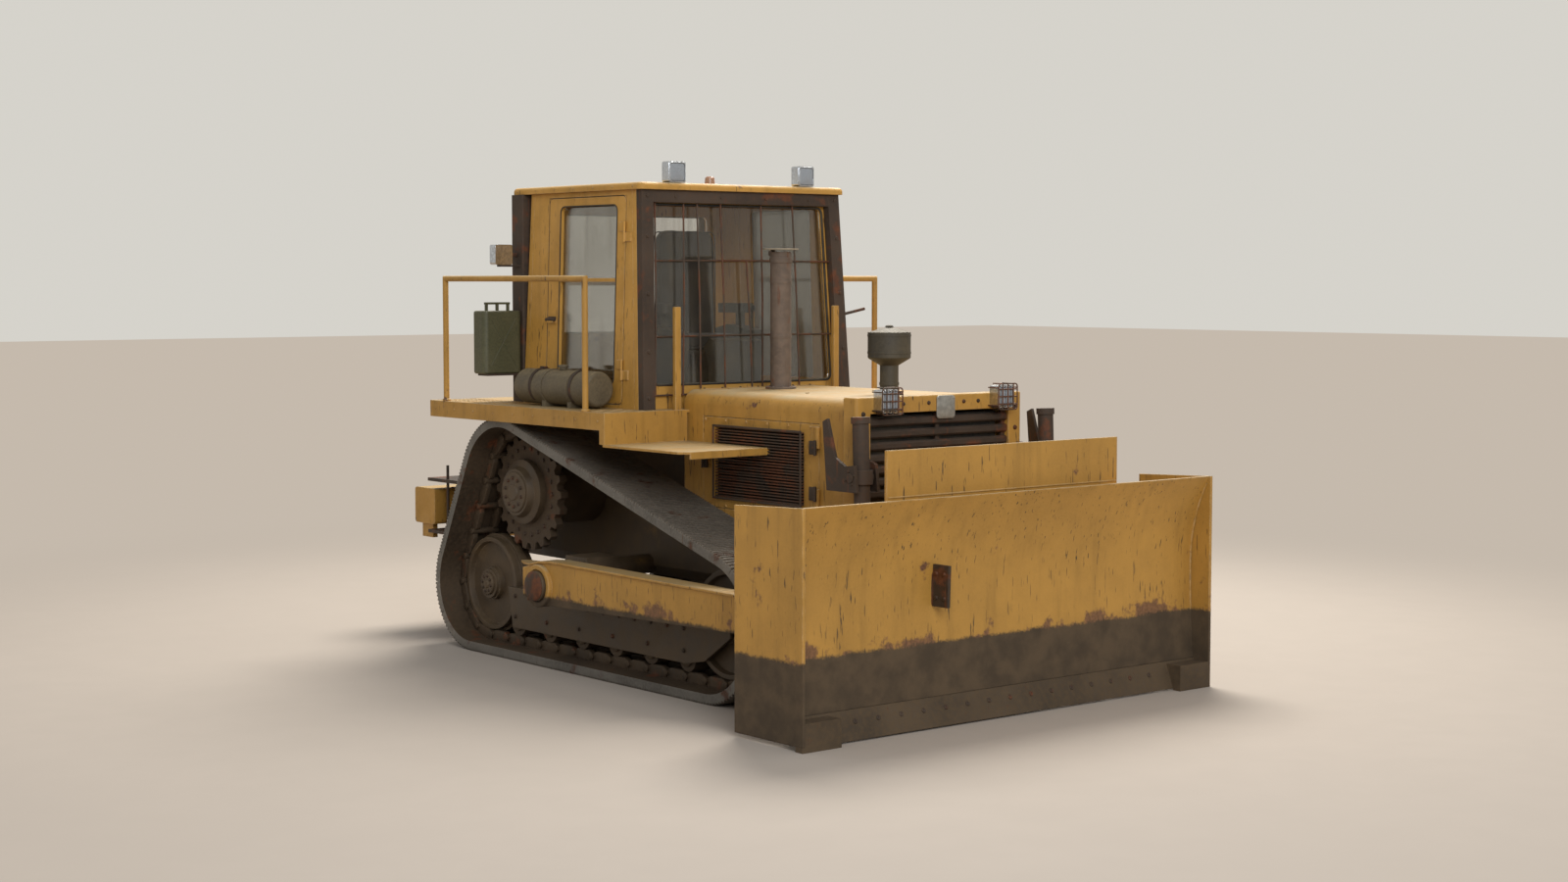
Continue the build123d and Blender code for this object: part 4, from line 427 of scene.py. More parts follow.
class Shape:
    """Mesh under construction, in the model's own metres."""

    def __init__(self):
        self.mesh = bmesh.new()

    def solid(self, rings, wrap=False):
        skin(self.mesh, rings, wrap)

    def take(self, part, trim=0.0):
        """Add a part, with its edges trimmed."""
        if trim:
            bmesh.ops.bevel(
                part, geom=part.edges[:], offset=trim, segments=2, affect="EDGES", profile=0.5
            )
        keep = bpy.data.meshes.new("part")
        part.to_mesh(keep)
        part.free()
        self.mesh.from_mesh(keep)
        bpy.data.meshes.remove(keep)

    def box(self, low, high, trim=0.0):
        """Block between two corners."""
        part = bmesh.new()
        low, high = Vector(low), Vector(high)
        place = Matrix.Translation((low + high) / 2) @ Matrix.Diagonal((*(high - low), 1))
        bmesh.ops.create_cube(part, size=1, matrix=place)
        self.take(part, trim)

    def prism(self, points, axis, low, high, trim=0.0):
        """Outline in the plane square to an axis, drawn out along it."""
        part = bmesh.new()
        skin(part, [[(*point[:axis], end, *point[axis:]) for point in points] for end in (low, high)])
        bmesh.ops.recalc_face_normals(part, faces=part.faces[:])
        self.take(part, trim)

    def lathe(self, profile, centre, axis, sides=32):
        """Profile of (along, radius) turned about an axis through a centre."""
        turn = Vector(axis).normalized().to_track_quat("Z", "Y").to_matrix().to_4x4()
        place = Matrix.Translation(centre) @ turn
        rings = []
        for along, radius in profile:
            rings.append([place @ point for point in circle(Z * along, X, Y, radius, sides)])
        self.solid(rings)

    def tube(self, points, radius, sides=12, wrap=False):
        """Round bar along points, mitred at its corners."""
        points = [Vector(point) for point in points]
        count = len(points)
        rings = []
        side = None
        for number, point in enumerate(points):
            inside = 0 < number < count - 1
            before = points[number - 1] if number or wrap else point
            after = points[(number + 1) % count] if number < count - 1 or wrap else point
            onward = (after - point).normalized()
            ahead = ((point - before).normalized() + onward).normalized()
            side = side or ahead.orthogonal().normalized()
            side = (side - ahead * side.dot(ahead)).normalized()
            widen = 1 / max(0.5, ahead.dot(onward)) if inside else 1
            rings.append(circle(point, side, ahead.cross(side), radius * widen, sides))
        self.solid(rings, wrap)

    def bolt(self, centre, axis, size=None, height=None):
        """Hexagon head on a washer, standing on its seat."""
        size = size or bpy.context.scene.bulldozer_fittings.bolt
        height = height or size * 0.55
        axis = Vector(axis).normalized()
        seat = Vector(centre) - axis * SUNK
        washer = [(0, 0.68), (0.10, 0.68), (0.13, 0.62)]
        self.lathe([(size * along, size * radius) for along, radius in washer], seat, axis, 16)
        head = [(size * 0.10, 0.56), (height * 0.85, 0.56), (height, 0.44), (height, 0.18)]
        self.lathe([(along, size * radius) for along, radius in head], seat, axis, 6)

    def bead(self, points, radius=0.006):
        """Weld bead: a lumpy half-sunk bar along a seam."""
        points = [Vector(point) for point in points]
        path = []
        for first, last in zip(points, points[1:]):
            steps = max(2, int((last - first).length / (radius * 3.2)))
            path += [first.lerp(last, step / steps) for step in range(steps)]
        path.append(points[-1])
        rings = []
        for number, point in enumerate(path):
            before, after = path[max(number - 1, 0)], path[min(number + 1, len(path) - 1)]
            ahead = (after - before).normalized()
            side = ahead.orthogonal().normalized()
            swell = radius * (1.0 if number % 2 else 0.78)
            rings.append(circle(point, side, ahead.cross(side), swell, 6))
        self.solid(rings)

    def finish(self, name, body, material, slot=None, angle=35):
        """Turn the mesh into a named piece that rides on a body."""
        bmesh.ops.recalc_face_normals(self.mesh, faces=self.mesh.faces[:])
        data = bpy.data.meshes.new(name)
        self.mesh.to_mesh(data)
        self.mesh.free()
        piece = bpy.data.objects.new(name, data)
        bpy.context.scene.collection.objects.link(piece)
        data.materials.append(Finish.made[material])
        data.shade_smooth()
        data.set_sharp_from_angle(angle=math.radians(angle))
        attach(piece, body)
        return piece


class BulldozerPiece:
    """What every maker below shares."""

    bl_options = {"REGISTER", "UNDO"}

    def execute(self, context):
        self.build(context.scene)
        return {"FINISHED"}


class BULLDOZER_OT_finishes(BulldozerPiece, bpy.types.Operator):
    """Make every finish and put it on the solids that keep their shape"""

    bl_idname = "bulldozer.finishes"
    bl_label = "Finishes"

    def build(self, scene):
        paint, metal, fit = scene.bulldozer_paint, scene.bulldozer_metal, scene.bulldozer_fittings
        paint_finish("body_paint", paint.paint)
        # Cab paint is the machine paint made 1.18 times lighter: painted light for the brighter lit walls
        # of the cab.
        paint_finish("cab_paint_painted_light", shade(paint.paint, 1.18), None, 0.9, 0.9, 1.0)
        paint_finish("blade_paint", paint.paint, paint.mud_line, rust=0.95)
        paint_finish("arm_paint", paint.paint, paint.mud_line + 0.03, rust=1.0)
        paint_finish("deck_paint", shade(paint.paint, 0.95), None, 1.1, 0.7, 1.0)
        # Hull paint is the machine paint at 0.7 of its lightness, a painted shade for the hull low between
        # the tracks, with caked dirt in patches over it.
        paint_finish("grime_and_shade_paint", shade(paint.paint, 0.7), None, 1.0, 1.0, 0.4, 0.9)
        paint_finish("running_gear", blend_colours(paint.dirt, paint.paint, 0.06), None, 0.5, 0.6, 0.3, 0.7)
        iron_finish("dark_iron", metal.iron, metal.orange_rust, 0.35, 0.25)
        iron_finish("rusty_iron", shade(metal.iron, 1.3), metal.orange_rust, 0.95, 0.2, 0.75)
        iron_finish("guard_iron", shade(metal.iron, 1.25), metal.orange_rust, 0.25, 0.15, 0.75)
        iron_finish("wire_rust", shade(metal.iron, 1.4), metal.orange_rust, 0.8, 0.3, 0.6)
        iron_finish("tread_steel", metal.tread, shade(metal.orange_rust, 0.5), 0.15, 0.35, 0.6, 45)
        iron_finish("shoe_steel", metal.shoe, shade(metal.orange_rust, 0.6), 0.15, 0.55, 0.45, 60)
        iron_finish(
            "link_steel", blend_colours(paint.dirt, metal.iron, 0.4), metal.orange_rust, 0.2, 0.3, 0.7, 40
        )
        iron_finish(
            "edge_steel", shade(paint.dirt, 0.95), shade(metal.orange_rust, 0.6), -0.2, 0.1, 0.80, 30
        )
        iron_finish("bolt_steel", shade(metal.iron, 1.1), metal.orange_rust, 0.45, 0.45, 0.55, 80)
        iron_finish("lid_steel", (0.30, 0.25, 0.18), metal.orange_rust, 0.2, 0.3, 0.6, 40)
        iron_finish("stack_steel", metal.stack, metal.orange_rust, 0.2, 0.25, 0.7, 22)
        iron_finish("engine_iron", shade(metal.iron, 0.9), metal.orange_rust, 0.2, 0.3, 0.7)
        smooth_finish("cleaner_grey", metal.cleaner, 0.62, 0.0, 0.22)
        smooth_finish("chrome", metal.chrome, 0.17, 1.0, 0.10, 70)
        smooth_finish("rod_chrome", shade(metal.chrome, 0.95), 0.22, 1.0, 0.15, 70)
        smooth_finish("radiator_core", (0.035, 0.034, 0.033), 0.7, 0.3, 0.5, 40)
        smooth_finish("can_green", fit.can, 0.55, 0.0, 0.15)
        smooth_finish("tank_olive", fit.tank, 0.6, 0.0, 0.35)
        smooth_finish("plastic", fit.plastic, 0.6, 0.0, 0.25)
        smooth_finish("rubber", fit.rubber, 0.75, 0.0, 0.25)
        smooth_finish("seat_shell", shade(fit.plastic, 1.2), 0.65, 0.0, 0.3)
        smooth_finish("blank_plate", (0.30, 0.29, 0.26), 0.45, 0.6, 0.2, 30)
        dome_finish("beacon_orange", fit.beacon)
        fabric_finish("seat_fabric", fit.seat)
        glass_finish("smoky_glass", fit.glass)
        # The door pane lets through only 0.62 as much as the other panes: painted shade for the dim cab
        # seen through it.
        glass_finish("door_glass", shade(fit.glass, 0.62))
        smooth_finish("lamp_glass", (0.33, 0.36, 0.40), 0.20, 0.55, 0.1, 120, 0.5)
        for material, nodes in NODE_FINISHES.items():
            for node in nodes:
                data = NODES[node].data
                for number in range(len(data.materials)):
                    data.materials[number] = Finish.made[material]
                if not data.materials:
                    data.materials.append(Finish.made[material])


NODE_FINISHES = {
    "body_paint": [
        "hood", "hood_bulkhead", "engine_doors", "rails_left", "rail_right", "grab_posts",
        "radiator_guard", "rear_beam",
    ],
    # Cab walls, roof and doors take the lightened cab paint, which is painted light.
    "cab_paint_painted_light": ["cab_sides", "cab_front", "cab_rear", "cab_roof", "cab_door_left", "cab_door_right"],
    "deck_paint": ["decks", "platform"],
    "blade_paint": ["mouldboard", "spill_guard"],
    "arm_paint": ["push_arms"],
    # Hull and rear case take the darkened paint: painted shade with caked dirt.
    "grime_and_shade_paint": ["hull", "rear_case"],
    "running_gear": ["roller_frames", "final_drives", "idlers"],
    "link_steel": ["track_rollers", "sprockets", "track_left", "track_right"],
    "dark_iron": ["lift_yokes", "engine_louvres", "grille", "rear_frame_plates", "face_lug"],
    "guard_iron": ["front_guard_frame", "rear_posts", "lift_barrel_left", "lift_barrel_right"],
    "edge_steel": ["cutting_edge"],
    "wire_rust": ["lamp_cages"],
    "lid_steel": ["rain_cap"],
    "stack_steel": ["exhaust_stack"],
    "engine_iron": ["engine_block"],
    "radiator_core": ["radiator"],
    "cleaner_grey": ["precleaner"],
    "chrome": ["lamps"],
    "rod_chrome": ["lift_rod_left", "lift_rod_right"],
    "can_green": ["fuel_can"],
    "tank_olive": ["deck_tank"],
    "beacon_orange": ["beacon"],
    "smoky_glass": ["cab_glass"],
    "door_glass": ["door_glass_left"],
    "seat_fabric": ["seat_cushion", "seat_back"],
    "seat_shell": ["seat_pedestal"],
    "plastic": ["cab_controls"],
}


class BULLDOZER_OT_stage(BulldozerPiece, bpy.types.Operator):
    """Set the pale floor, the backdrop, the soft lights and the camera"""

    bl_idname = "bulldozer.stage"
    bl_label = "Stage"

    def build(self, scene):
        look = scene.bulldozer_stage
        self.floor(scene, look)
        self.world(scene, look)
        centre = Vector((0, 0, 1.5))
        self.lamp(scene, "high_key", (4.5, 3.0, 11.5), centre, 7.0, look.key)
        self.lamp(scene, "low_fill", (-7.5, -15.0, 8.5), centre, 9.0, look.fill)
        data = bpy.data.cameras.new("photo_camera")
        data.lens = 53.775
        data.sensor_width = 36
        data.clip_end = 400
        camera = bpy.data.objects.new("photo_camera", data)
        camera.location = (-10.364, -13.253, 2.743)
        camera.rotation_euler = (math.radians(86.075), 0, math.radians(-39.2))
        scene.collection.objects.link(camera)
        scene.camera = camera
        scene.view_settings.view_transform = "Standard"

    def lamp(self, scene, name, place, target, size, power):
        data = bpy.data.lights.new(name, "AREA")
        data.shape = "DISK"
        data.size = size
        data.energy = power
        data.color = (1.0, 0.96, 0.90) if name == "high_key" else (0.95, 0.97, 1.0)
        lamp = bpy.data.objects.new(name, data)
        lamp.location = place
        lamp.rotation_euler = (Vector(target) - Vector(place)).to_track_quat("-Z", "Y").to_euler()
        scene.collection.objects.link(lamp)

    def floor(self, scene, look):
        half = 90.0
        shape = Shape()
        corners = [
            shape.mesh.verts.new((half * a, half * b, 0)) for a, b in ((-1, -1), (1, -1), (1, 1), (-1, 1))
        ]
        shape.mesh.faces.new(corners)
        data = bpy.data.meshes.new("floor")
        shape.mesh.to_mesh(data)
        shape.mesh.free()
        floor = bpy.data.objects.new("floor", data)
        scene.collection.objects.link(floor)
        finish = Finish("floor")
        broad = finish.noise(0.12, 4)
        fine = finish.noise(3.0, 6)
        tone = finish.mix(finish.step(broad, 0.3, 0.7), shade(look.floor, 0.97), shade(look.floor, 1.03))
        tone = finish.mix(finish.step(fine, 0.3, 0.7, 0, 0.3), tone, shade(look.floor, 0.94))
        finish.set(Base_Color=tone, Roughness=0.95)
        finish.bump(fine, 0.1, 0.01)
        self.far_floor(finish, look)
        data.materials.append(finish.material)

    def far_floor(self, finish, look):
        """Let the floor away from the machine show its own colour, lit or not."""
        away = finish.add("VectorMath", {0: finish.place.outputs["Object"]}, operation="LENGTH")
        far = finish.step(away.outputs["Value"], 4.5, 11.0)
        plain = finish.add("Emission", {"Color": look.horizon})
        mix = finish.layered(finish.maths("MULTIPLY", far, finish.seen()), finish.shader, plain)
        finish.put(finish.output.inputs["Surface"], mix.outputs[0])

    def world(self, scene, look):
        world = bpy.data.worlds.new("studio")
        scene.world = world
        nodes = Nodes(world)
        even = nodes.add("Background", {"Color": (0.93, 0.94, 0.96), "Strength": look.sky})
        shown = nodes.add("Background", {"Color": look.backdrop, "Strength": 1})
        mix = nodes.layered(nodes.seen(), even, shown)
        nodes.add("OutputWorld", {0: mix.outputs[0]})


TRACK_X = 0.990
SHOE_WIDTH = 0.560
SHOE_COUNT = 41
SHOE_HEIGHT = 0.070
SHOE_RIBS = 8
SHOE_TRIM = 0.006
RIB_HEIGHT = 0.010
RIB_SLOPE = 0.004
SEAM_DEPTH = 0.054
SEAM_WIDTH = 0.0025
LINK_HEIGHT = 0.074
LINK_WIDTH = 0.040
LINK_OFFSET = 0.080
LINK_TRIM = 0.004
PIN_REACH = 0.118
PIN_RADIUS = 0.024
BELT_WHEELS = ((1.620, 0.503, 0.503), (4.500, 0.488, 0.488), (4.074, 1.202, 0.550))
FULL_TURN = 2 * math.pi


def belt_pieces(inset):
    """Runs and arcs of the track's line, a distance inside the shoe tips."""
    wheels = [(at(y), z, radius - inset) for y, z, radius in BELT_WHEELS]
    runs = []
    for (y0, z0, r0), (y1, z1, r1) in zip(wheels, wheels[1:] + wheels[:1]):
        length_over = math.hypot(y1 - y0, z1 - z0)
        ahead_y, ahead_z = (y1 - y0) / length_over, (z1 - z0) / length_over
        lean = (r0 - r1) / length_over
        square = math.sqrt(1 - lean * lean)
        out_y = lean * ahead_y + square * ahead_z
        out_z = lean * ahead_z - square * ahead_y
        first = (y0 + r0 * out_y, z0 + r0 * out_z)
        last = (y1 + r1 * out_y, z1 + r1 * out_z)
        runs.append((first, last, math.atan2(out_z, out_y), length_over * square))
    pieces = []
    for number, (first, last, facing, run) in enumerate(runs):
        after = (number + 1) % len(runs)
        y, z, radius = wheels[after]
        turn = (runs[after][2] - facing) % FULL_TURN
        pieces.append((run, first, last, facing, None))
        pieces.append((radius * turn, (y, z), radius, facing, turn))
    return pieces


def belt_point(pieces, distance):
    """Place on the track's line and the direction it faces there."""
    distance %= sum(piece[0] for piece in pieces)
    for piece in pieces:
        if distance <= piece[0]:
            break
        distance -= piece[0]
    share = distance / piece[0]
    if piece[4] is None:
        (y0, z0), (y1, z1) = piece[1], piece[2]
        return y0 + (y1 - y0) * share, z0 + (z1 - z0) * share, piece[3]
    (y, z), radius, facing = piece[1:4]
    facing += piece[4] * share
    return y + radius * math.cos(facing), z + radius * math.sin(facing), facing


class BULLDOZER_OT_tracks(BulldozerPiece, bpy.types.Operator):
    """Make both tracks: ribbed shoes over a chain of links and pins"""

    bl_idname = "bulldozer.tracks"
    bl_label = "Tracks"

    def build(self, scene):
        pieces = belt_pieces(SHOE_HEIGHT)
        pitch = sum(piece[0] for piece in pieces) / SHOE_COUNT
        for side, name in SIDES:
            shoes = self.shoes(side * TRACK_X, pieces, pitch)
            piece = shoes.finish(f"track_shoes_{name}", "frame", "tread_steel", "track_steel", 28)
            for finish in ("shoe_steel", "link_steel"):
                piece.data.materials.append(Finish.made[finish])
            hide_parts(f"track_{name}")
            links = self.links(side * TRACK_X, pieces, pitch)
            links.finish(f"track_links_{name}", "frame", "link_steel", "track_steel")

    def tread(self, pitch):
        """Distance along the belt and height of each line across the shoes."""
        rib = pitch / SHOE_RIBS
        valley = SHOE_HEIGHT - RIB_HEIGHT
        deep = SHOE_HEIGHT - SEAM_DEPTH
        marks = []
        for shoe in range(SHOE_COUNT):
            start = shoe * pitch
            marks += [(start, deep), (start + SEAM_WIDTH, deep), (start + SEAM_WIDTH + 0.001, valley)]
            for number in range(SHOE_RIBS):
                first = start + rib * (number + 0.30)
                last = first + rib * 0.40
                marks += [
                    (first, valley), (first + RIB_SLOPE, SHOE_HEIGHT),
                    (last, SHOE_HEIGHT), (last + RIB_SLOPE, valley),
                ]
            marks.append((start + pitch - 0.001, valley))
        return marks

    def shoes(self, x, pieces, pitch):
        marks = self.tread(pitch)
        low_x, high_x = x - SHOE_WIDTH / 2, x + SHOE_WIDTH / 2
        rings = []
        for distance, reach in marks:
            y, z, facing = belt_point(pieces, distance)
            out_y, out_z = math.cos(facing), math.sin(facing)
            profile = [
                (low_x, 0), (high_x, 0), (high_x, reach - SHOE_TRIM),
                (high_x - SHOE_TRIM, reach), (low_x + SHOE_TRIM, reach), (low_x, reach - SHOE_TRIM),
            ]
            rings.append([(px, y + out_y * out, z + out_z * out) for px, out in profile])
        shape = Shape()
        shape.solid(rings, wrap=True)
        low_tread = 2 * (SHOE_HEIGHT - RIB_HEIGHT) + 0.001
        for number, face in enumerate(shape.mesh.faces):
            mark, part = divmod(number, len(profile))
            reaches = marks[mark][1] + marks[(mark + 1) % len(marks)][1]
            if part == 0 or (part == 3 and reaches < low_tread):
                face.material_index = 2
            elif part in (1, 5):
                face.material_index = 1
        return shape

    def links(self, x, pieces, pitch):
        shape = Shape()
        half = pitch * 0.47
        side = [
            (1, -0.002), (1, LINK_HEIGHT * 0.30), (0.9, LINK_HEIGHT * 0.8), (0.62, LINK_HEIGHT)
        ]
        outline = [(-half, -0.002)] + [(half * share, v) for share, v in side]
        outline += [(-half * share, v) for share, v in reversed(side[1:])]
        pin = [(0, 0.018), (0.003, PIN_RADIUS), (2 * PIN_REACH - 0.003, PIN_RADIUS), (2 * PIN_REACH, 0.018)]
        for number in range(SHOE_COUNT):
            y, z, facing = belt_point(pieces, pitch * (number + 0.5))
            out_y, out_z = math.cos(facing), math.sin(facing)
            points = [(y - u * out_z - v * out_y, z + u * out_y - v * out_z) for u, v in outline]
            for sign in (-1, 1):
                low = x + sign * LINK_OFFSET - LINK_WIDTH / 2
                shape.prism(points, 0, low, low + LINK_WIDTH, LINK_TRIM)
            y, z, facing = belt_point(pieces, pitch * number)
            drop = LINK_HEIGHT * 0.55
            centre = (x - PIN_REACH, y - math.cos(facing) * drop, z - math.sin(facing) * drop)
            shape.lathe(pin, centre, X, 14)
        return shape


TRUNNION = (3.300, 0.620)
DRIVE = BELT_WHEELS[2][:2]
IDLER_FACE = 1.100
DRIVE_FACE = 1.139
SPROCKET_FACE = 1.021
GUARD_FACE = 1.130
ROLLER_FACE = 1.1005
ROLLER_Z = 0.236
FIRST_ROLLER = 2.030
ROLLER_PITCH = 0.412
IDLER_COVER = [(0, 0.084), (0.014, 0.084), (0.020, 0.078), (0.020, 0.034), (0.028, 0.030), (0.030, 0.010)]
DRIVE_COVER = [(0, 0.150), (0.008, 0.150), (0.014, 0.142), (0.014, 0.062), (0.024, 0.055), (0.024, 0.012)]
ROLLER_COVER = [(0, 0.056), (0.010, 0.056), (0.016, 0.046), (0.016, 0.014)]
TRUNNION_RING = [(0, 0.150), (0.026, 0.150), (0.032, 0.145), (0.032, 0.118), (0.026, 0.113), (0, 0.113)]
TRUNNION_CAP = [(0, 0.104), (0.006, 0.104), (0.016, 0.094), (0.024, 0.070), (0.028, 0.040), (0.029, 0.010)]


def surface(node):
    """Ray caster for the surface of one solid."""
    data = NODES[node].data
    tree = BVHTree.FromPolygons([v.co for v in data.vertices], [p.vertices[:] for p in data.polygons])

    def touch(start, direction):
        place, normal, _, _ = tree.ray_cast(Vector(start), Vector(direction).normalized())
        if place is None:
            raise ValueError(f"nothing of {node} lies that way from {tuple(start)}")
        return place, normal

    return touch


class BULLDOZER_OT_running_gear(BulldozerPiece, bpy.types.Operator):
    """Add hub covers, bolt circles, guard bolts and the arm trunnion caps"""

    bl_idname = "bulldozer.running_gear"
    bl_label = "Running gear"

    def build(self, scene):
        hubs, bolts, caps = Shape(), Shape(), Shape()
        for side, name in SIDES:
            out = X * side
            for y, z, _ in BELT_WHEELS[:2]:
                hubs.lathe(IDLER_COVER, (IDLER_FACE * side, at(y), z), out, 40)
                for point in ring(((IDLER_FACE + 0.020) * side, at(y), z), X, 0.058, 8, 0.2):
                    bolts.bolt(point, out, 0.018)
            self.drive(hubs, bolts, side)
            self.guard(bolts, side)
            for number in range(6):
                y = at(FIRST_ROLLER + number * ROLLER_PITCH)
                hubs.lathe(ROLLER_COVER, (ROLLER_FACE * side, y, ROLLER_Z), out, 24)
            y, z = at(TRUNNION[0]), TRUNNION[1]
            rings = Shape()
            rings.lathe(TRUNNION_RING, (1.4290 * side, y, z), out, 56)
            rings.finish(f"trunnion_ring_{name}", "blade", "arm_paint", "paint")
            caps.lathe(TRUNNION_CAP, (1.4835 * side, y, z), out, 48)
        hubs.finish("hub_covers", "frame", "running_gear", "paint")
        caps.finish("trunnion_caps", "frame", "rusty_iron", "dark_iron")
        bolts.finish("undercarriage_bolts", "frame", "bolt_steel", "dark_iron")

    def drive(self, hubs, bolts, side):
        y, z = at(DRIVE[0]), DRIVE[1]
        hubs.lathe(DRIVE_COVER, ((DRIVE_FACE - 0.002) * side, y, z), X * side, 48)
        for point in ring(((DRIVE_FACE + 0.012) * side, y, z), X, 0.105, 10, 0.1):
            bolts.bolt(point, X * side, 0.022)
        for point in ring((SPROCKET_FACE * side, y, z), X, 0.318, 22, 0.07):
            bolts.bolt(point, X * side, 0.026)

    def guard(self, bolts, side):
        """Rows of bolts along the track guard, only where its face is flat."""
        face = GUARD_FACE * side
        touch = surface("roller_frames")
        for z, count in ((0.440, 12), (0.290, 6)):
            for y in spaced(FIRST_ROLLER, FIRST_ROLLER + 5 * ROLLER_PITCH, count):
                near = [touch((1.26 * side, at(y + step), z), -X * side)[0] for step in (-0.02, 0.02)]
                if all(abs(place.x - face) < 0.002 for place in near):
                    bolts.bolt((face, at(y), z), X * side, 0.026)


ARM_STATIONS = (0.50, 0.80, 1.10, 1.45, 1.80, 2.15, 2.50, 2.85, 3.15, 3.30, 3.42)
ARM_TAIL = ((3.56, 0.7), (3.68, 0.3))
ARM_MIDDLE = 1.365
FLANGE_INNER = 1.292
FLANGE_WIDTH = 0.152
FLANGE_HEIGHT = 0.013
EDGE_BOLT = [(-0.004, 0.016), (0.003, 0.016), (0.005, 0.011), (0.003, 0.007)]
CORNER_BOLT = [(-0.012, 0.020), (-0.0075, 0.020), (-0.0065, 0.013), (-0.0075, 0.009)]
AHEAD_OF_BLADE = at(-1)


class BULLDOZER_OT_blade(BulldozerPiece, bpy.types.Operator):
    """Add the blade's bolts and welds, and the top flange of each push arm"""

    bl_idname = "bulldozer.blade"
    bl_label = "Blade"

    def build(self, scene):
        bolts = Shape()
        edge = surface("cutting_edge")
        rows = [(number * 0.185, 0.118, EDGE_BOLT) for number in range(-7, 8)]
        for side, _ in SIDES:
            rows += [(x * side, z, CORNER_BOLT) for x in (1.56, 1.72) for z in (0.06, 0.13)]
        for x, z, profile in rows:
            place, normal = edge((x, AHEAD_OF_BLADE, z), Y)
            bolts.lathe(profile, place, normal, 14)
        bolts.finish("edge_bolts", "blade", "bolt_steel", "edge_steel")
        self.welds()
        self.flanges()
        self.lug()

    def welds(self):
        beads = Shape()
        face = surface("mouldboard")
        for side, _ in SIDES:
            heights = [number / 100 for number in range(24, 140, 6)]
            beads.bead([face((1.762 * side, AHEAD_OF_BLADE, z), Y)[0] for z in heights], 0.007)
        low_y = surface("spill_guard")((0, AHEAD_OF_BLADE, 1.46), Y)[0].y
        beads.bead([(-1.0, low_y, 1.434), (1.0, low_y, 1.434)], 0.007)
        beads.finish("blade_welds", "blade", "blade_paint", "paint")

    def flanges(self):
        arm = surface("push_arms")
        for side, name in SIDES:
            tops = [arm((ARM_MIDDLE * side, at(y), 1.2), -Z)[0].z for y in ARM_STATIONS]
            rows = [(y, top, 1.0) for y, top in zip(ARM_STATIONS, tops)]
            for y, share in ARM_TAIL:
                rows.append((y, rows[-1][1] - 0.004, share))
            skins = []
            for y, top, share in rows:
                low, high = span(side, FLANGE_INNER, FLANGE_INNER + FLANGE_WIDTH * share)
                corners = ((low, -SUNK), (high, -SUNK), (high, FLANGE_HEIGHT), (low, FLANGE_HEIGHT))
                skins.append([(x, at(y), top + rise) for x, rise in corners])
            shape = Shape()
            shape.solid(skins)
            shape.finish(f"arm_flange_{name}", "blade", "arm_paint", "paint", 20)

    def lug(self):
        shape = Shape()
        low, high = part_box("face_lug")
        for z in (0.80, 0.95):
            for y in (0.055, 0.125):
                shape.bolt((low.x, at(y), z), -X, 0.022)
        shape.bead([(low.x, high.y, low.z + 0.01), (low.x, high.y, high.z - 0.01)], 0.006)
        shape.finish("lug_bolts", "blade", "bolt_steel", "dark_iron")


DOOR_FACE = 0.648
LOUVRE_FRONT, LOUVRE_REAR = 1.384, 2.336
LOUVRE_LOW, LOUVRE_TOP = 1.256, 1.764
LOUVRE_RIM = 0.016
SLAT_COUNT = 25
SLAT_PITCH = 0.0196
HINGE_Y = 1.240
LATCH_Y = 2.420
GRILLE_BARS = 10
GRILLE_PITCH = 0.076
GUARD_FRONT = 0.754
HOOD_TOP = 1.984


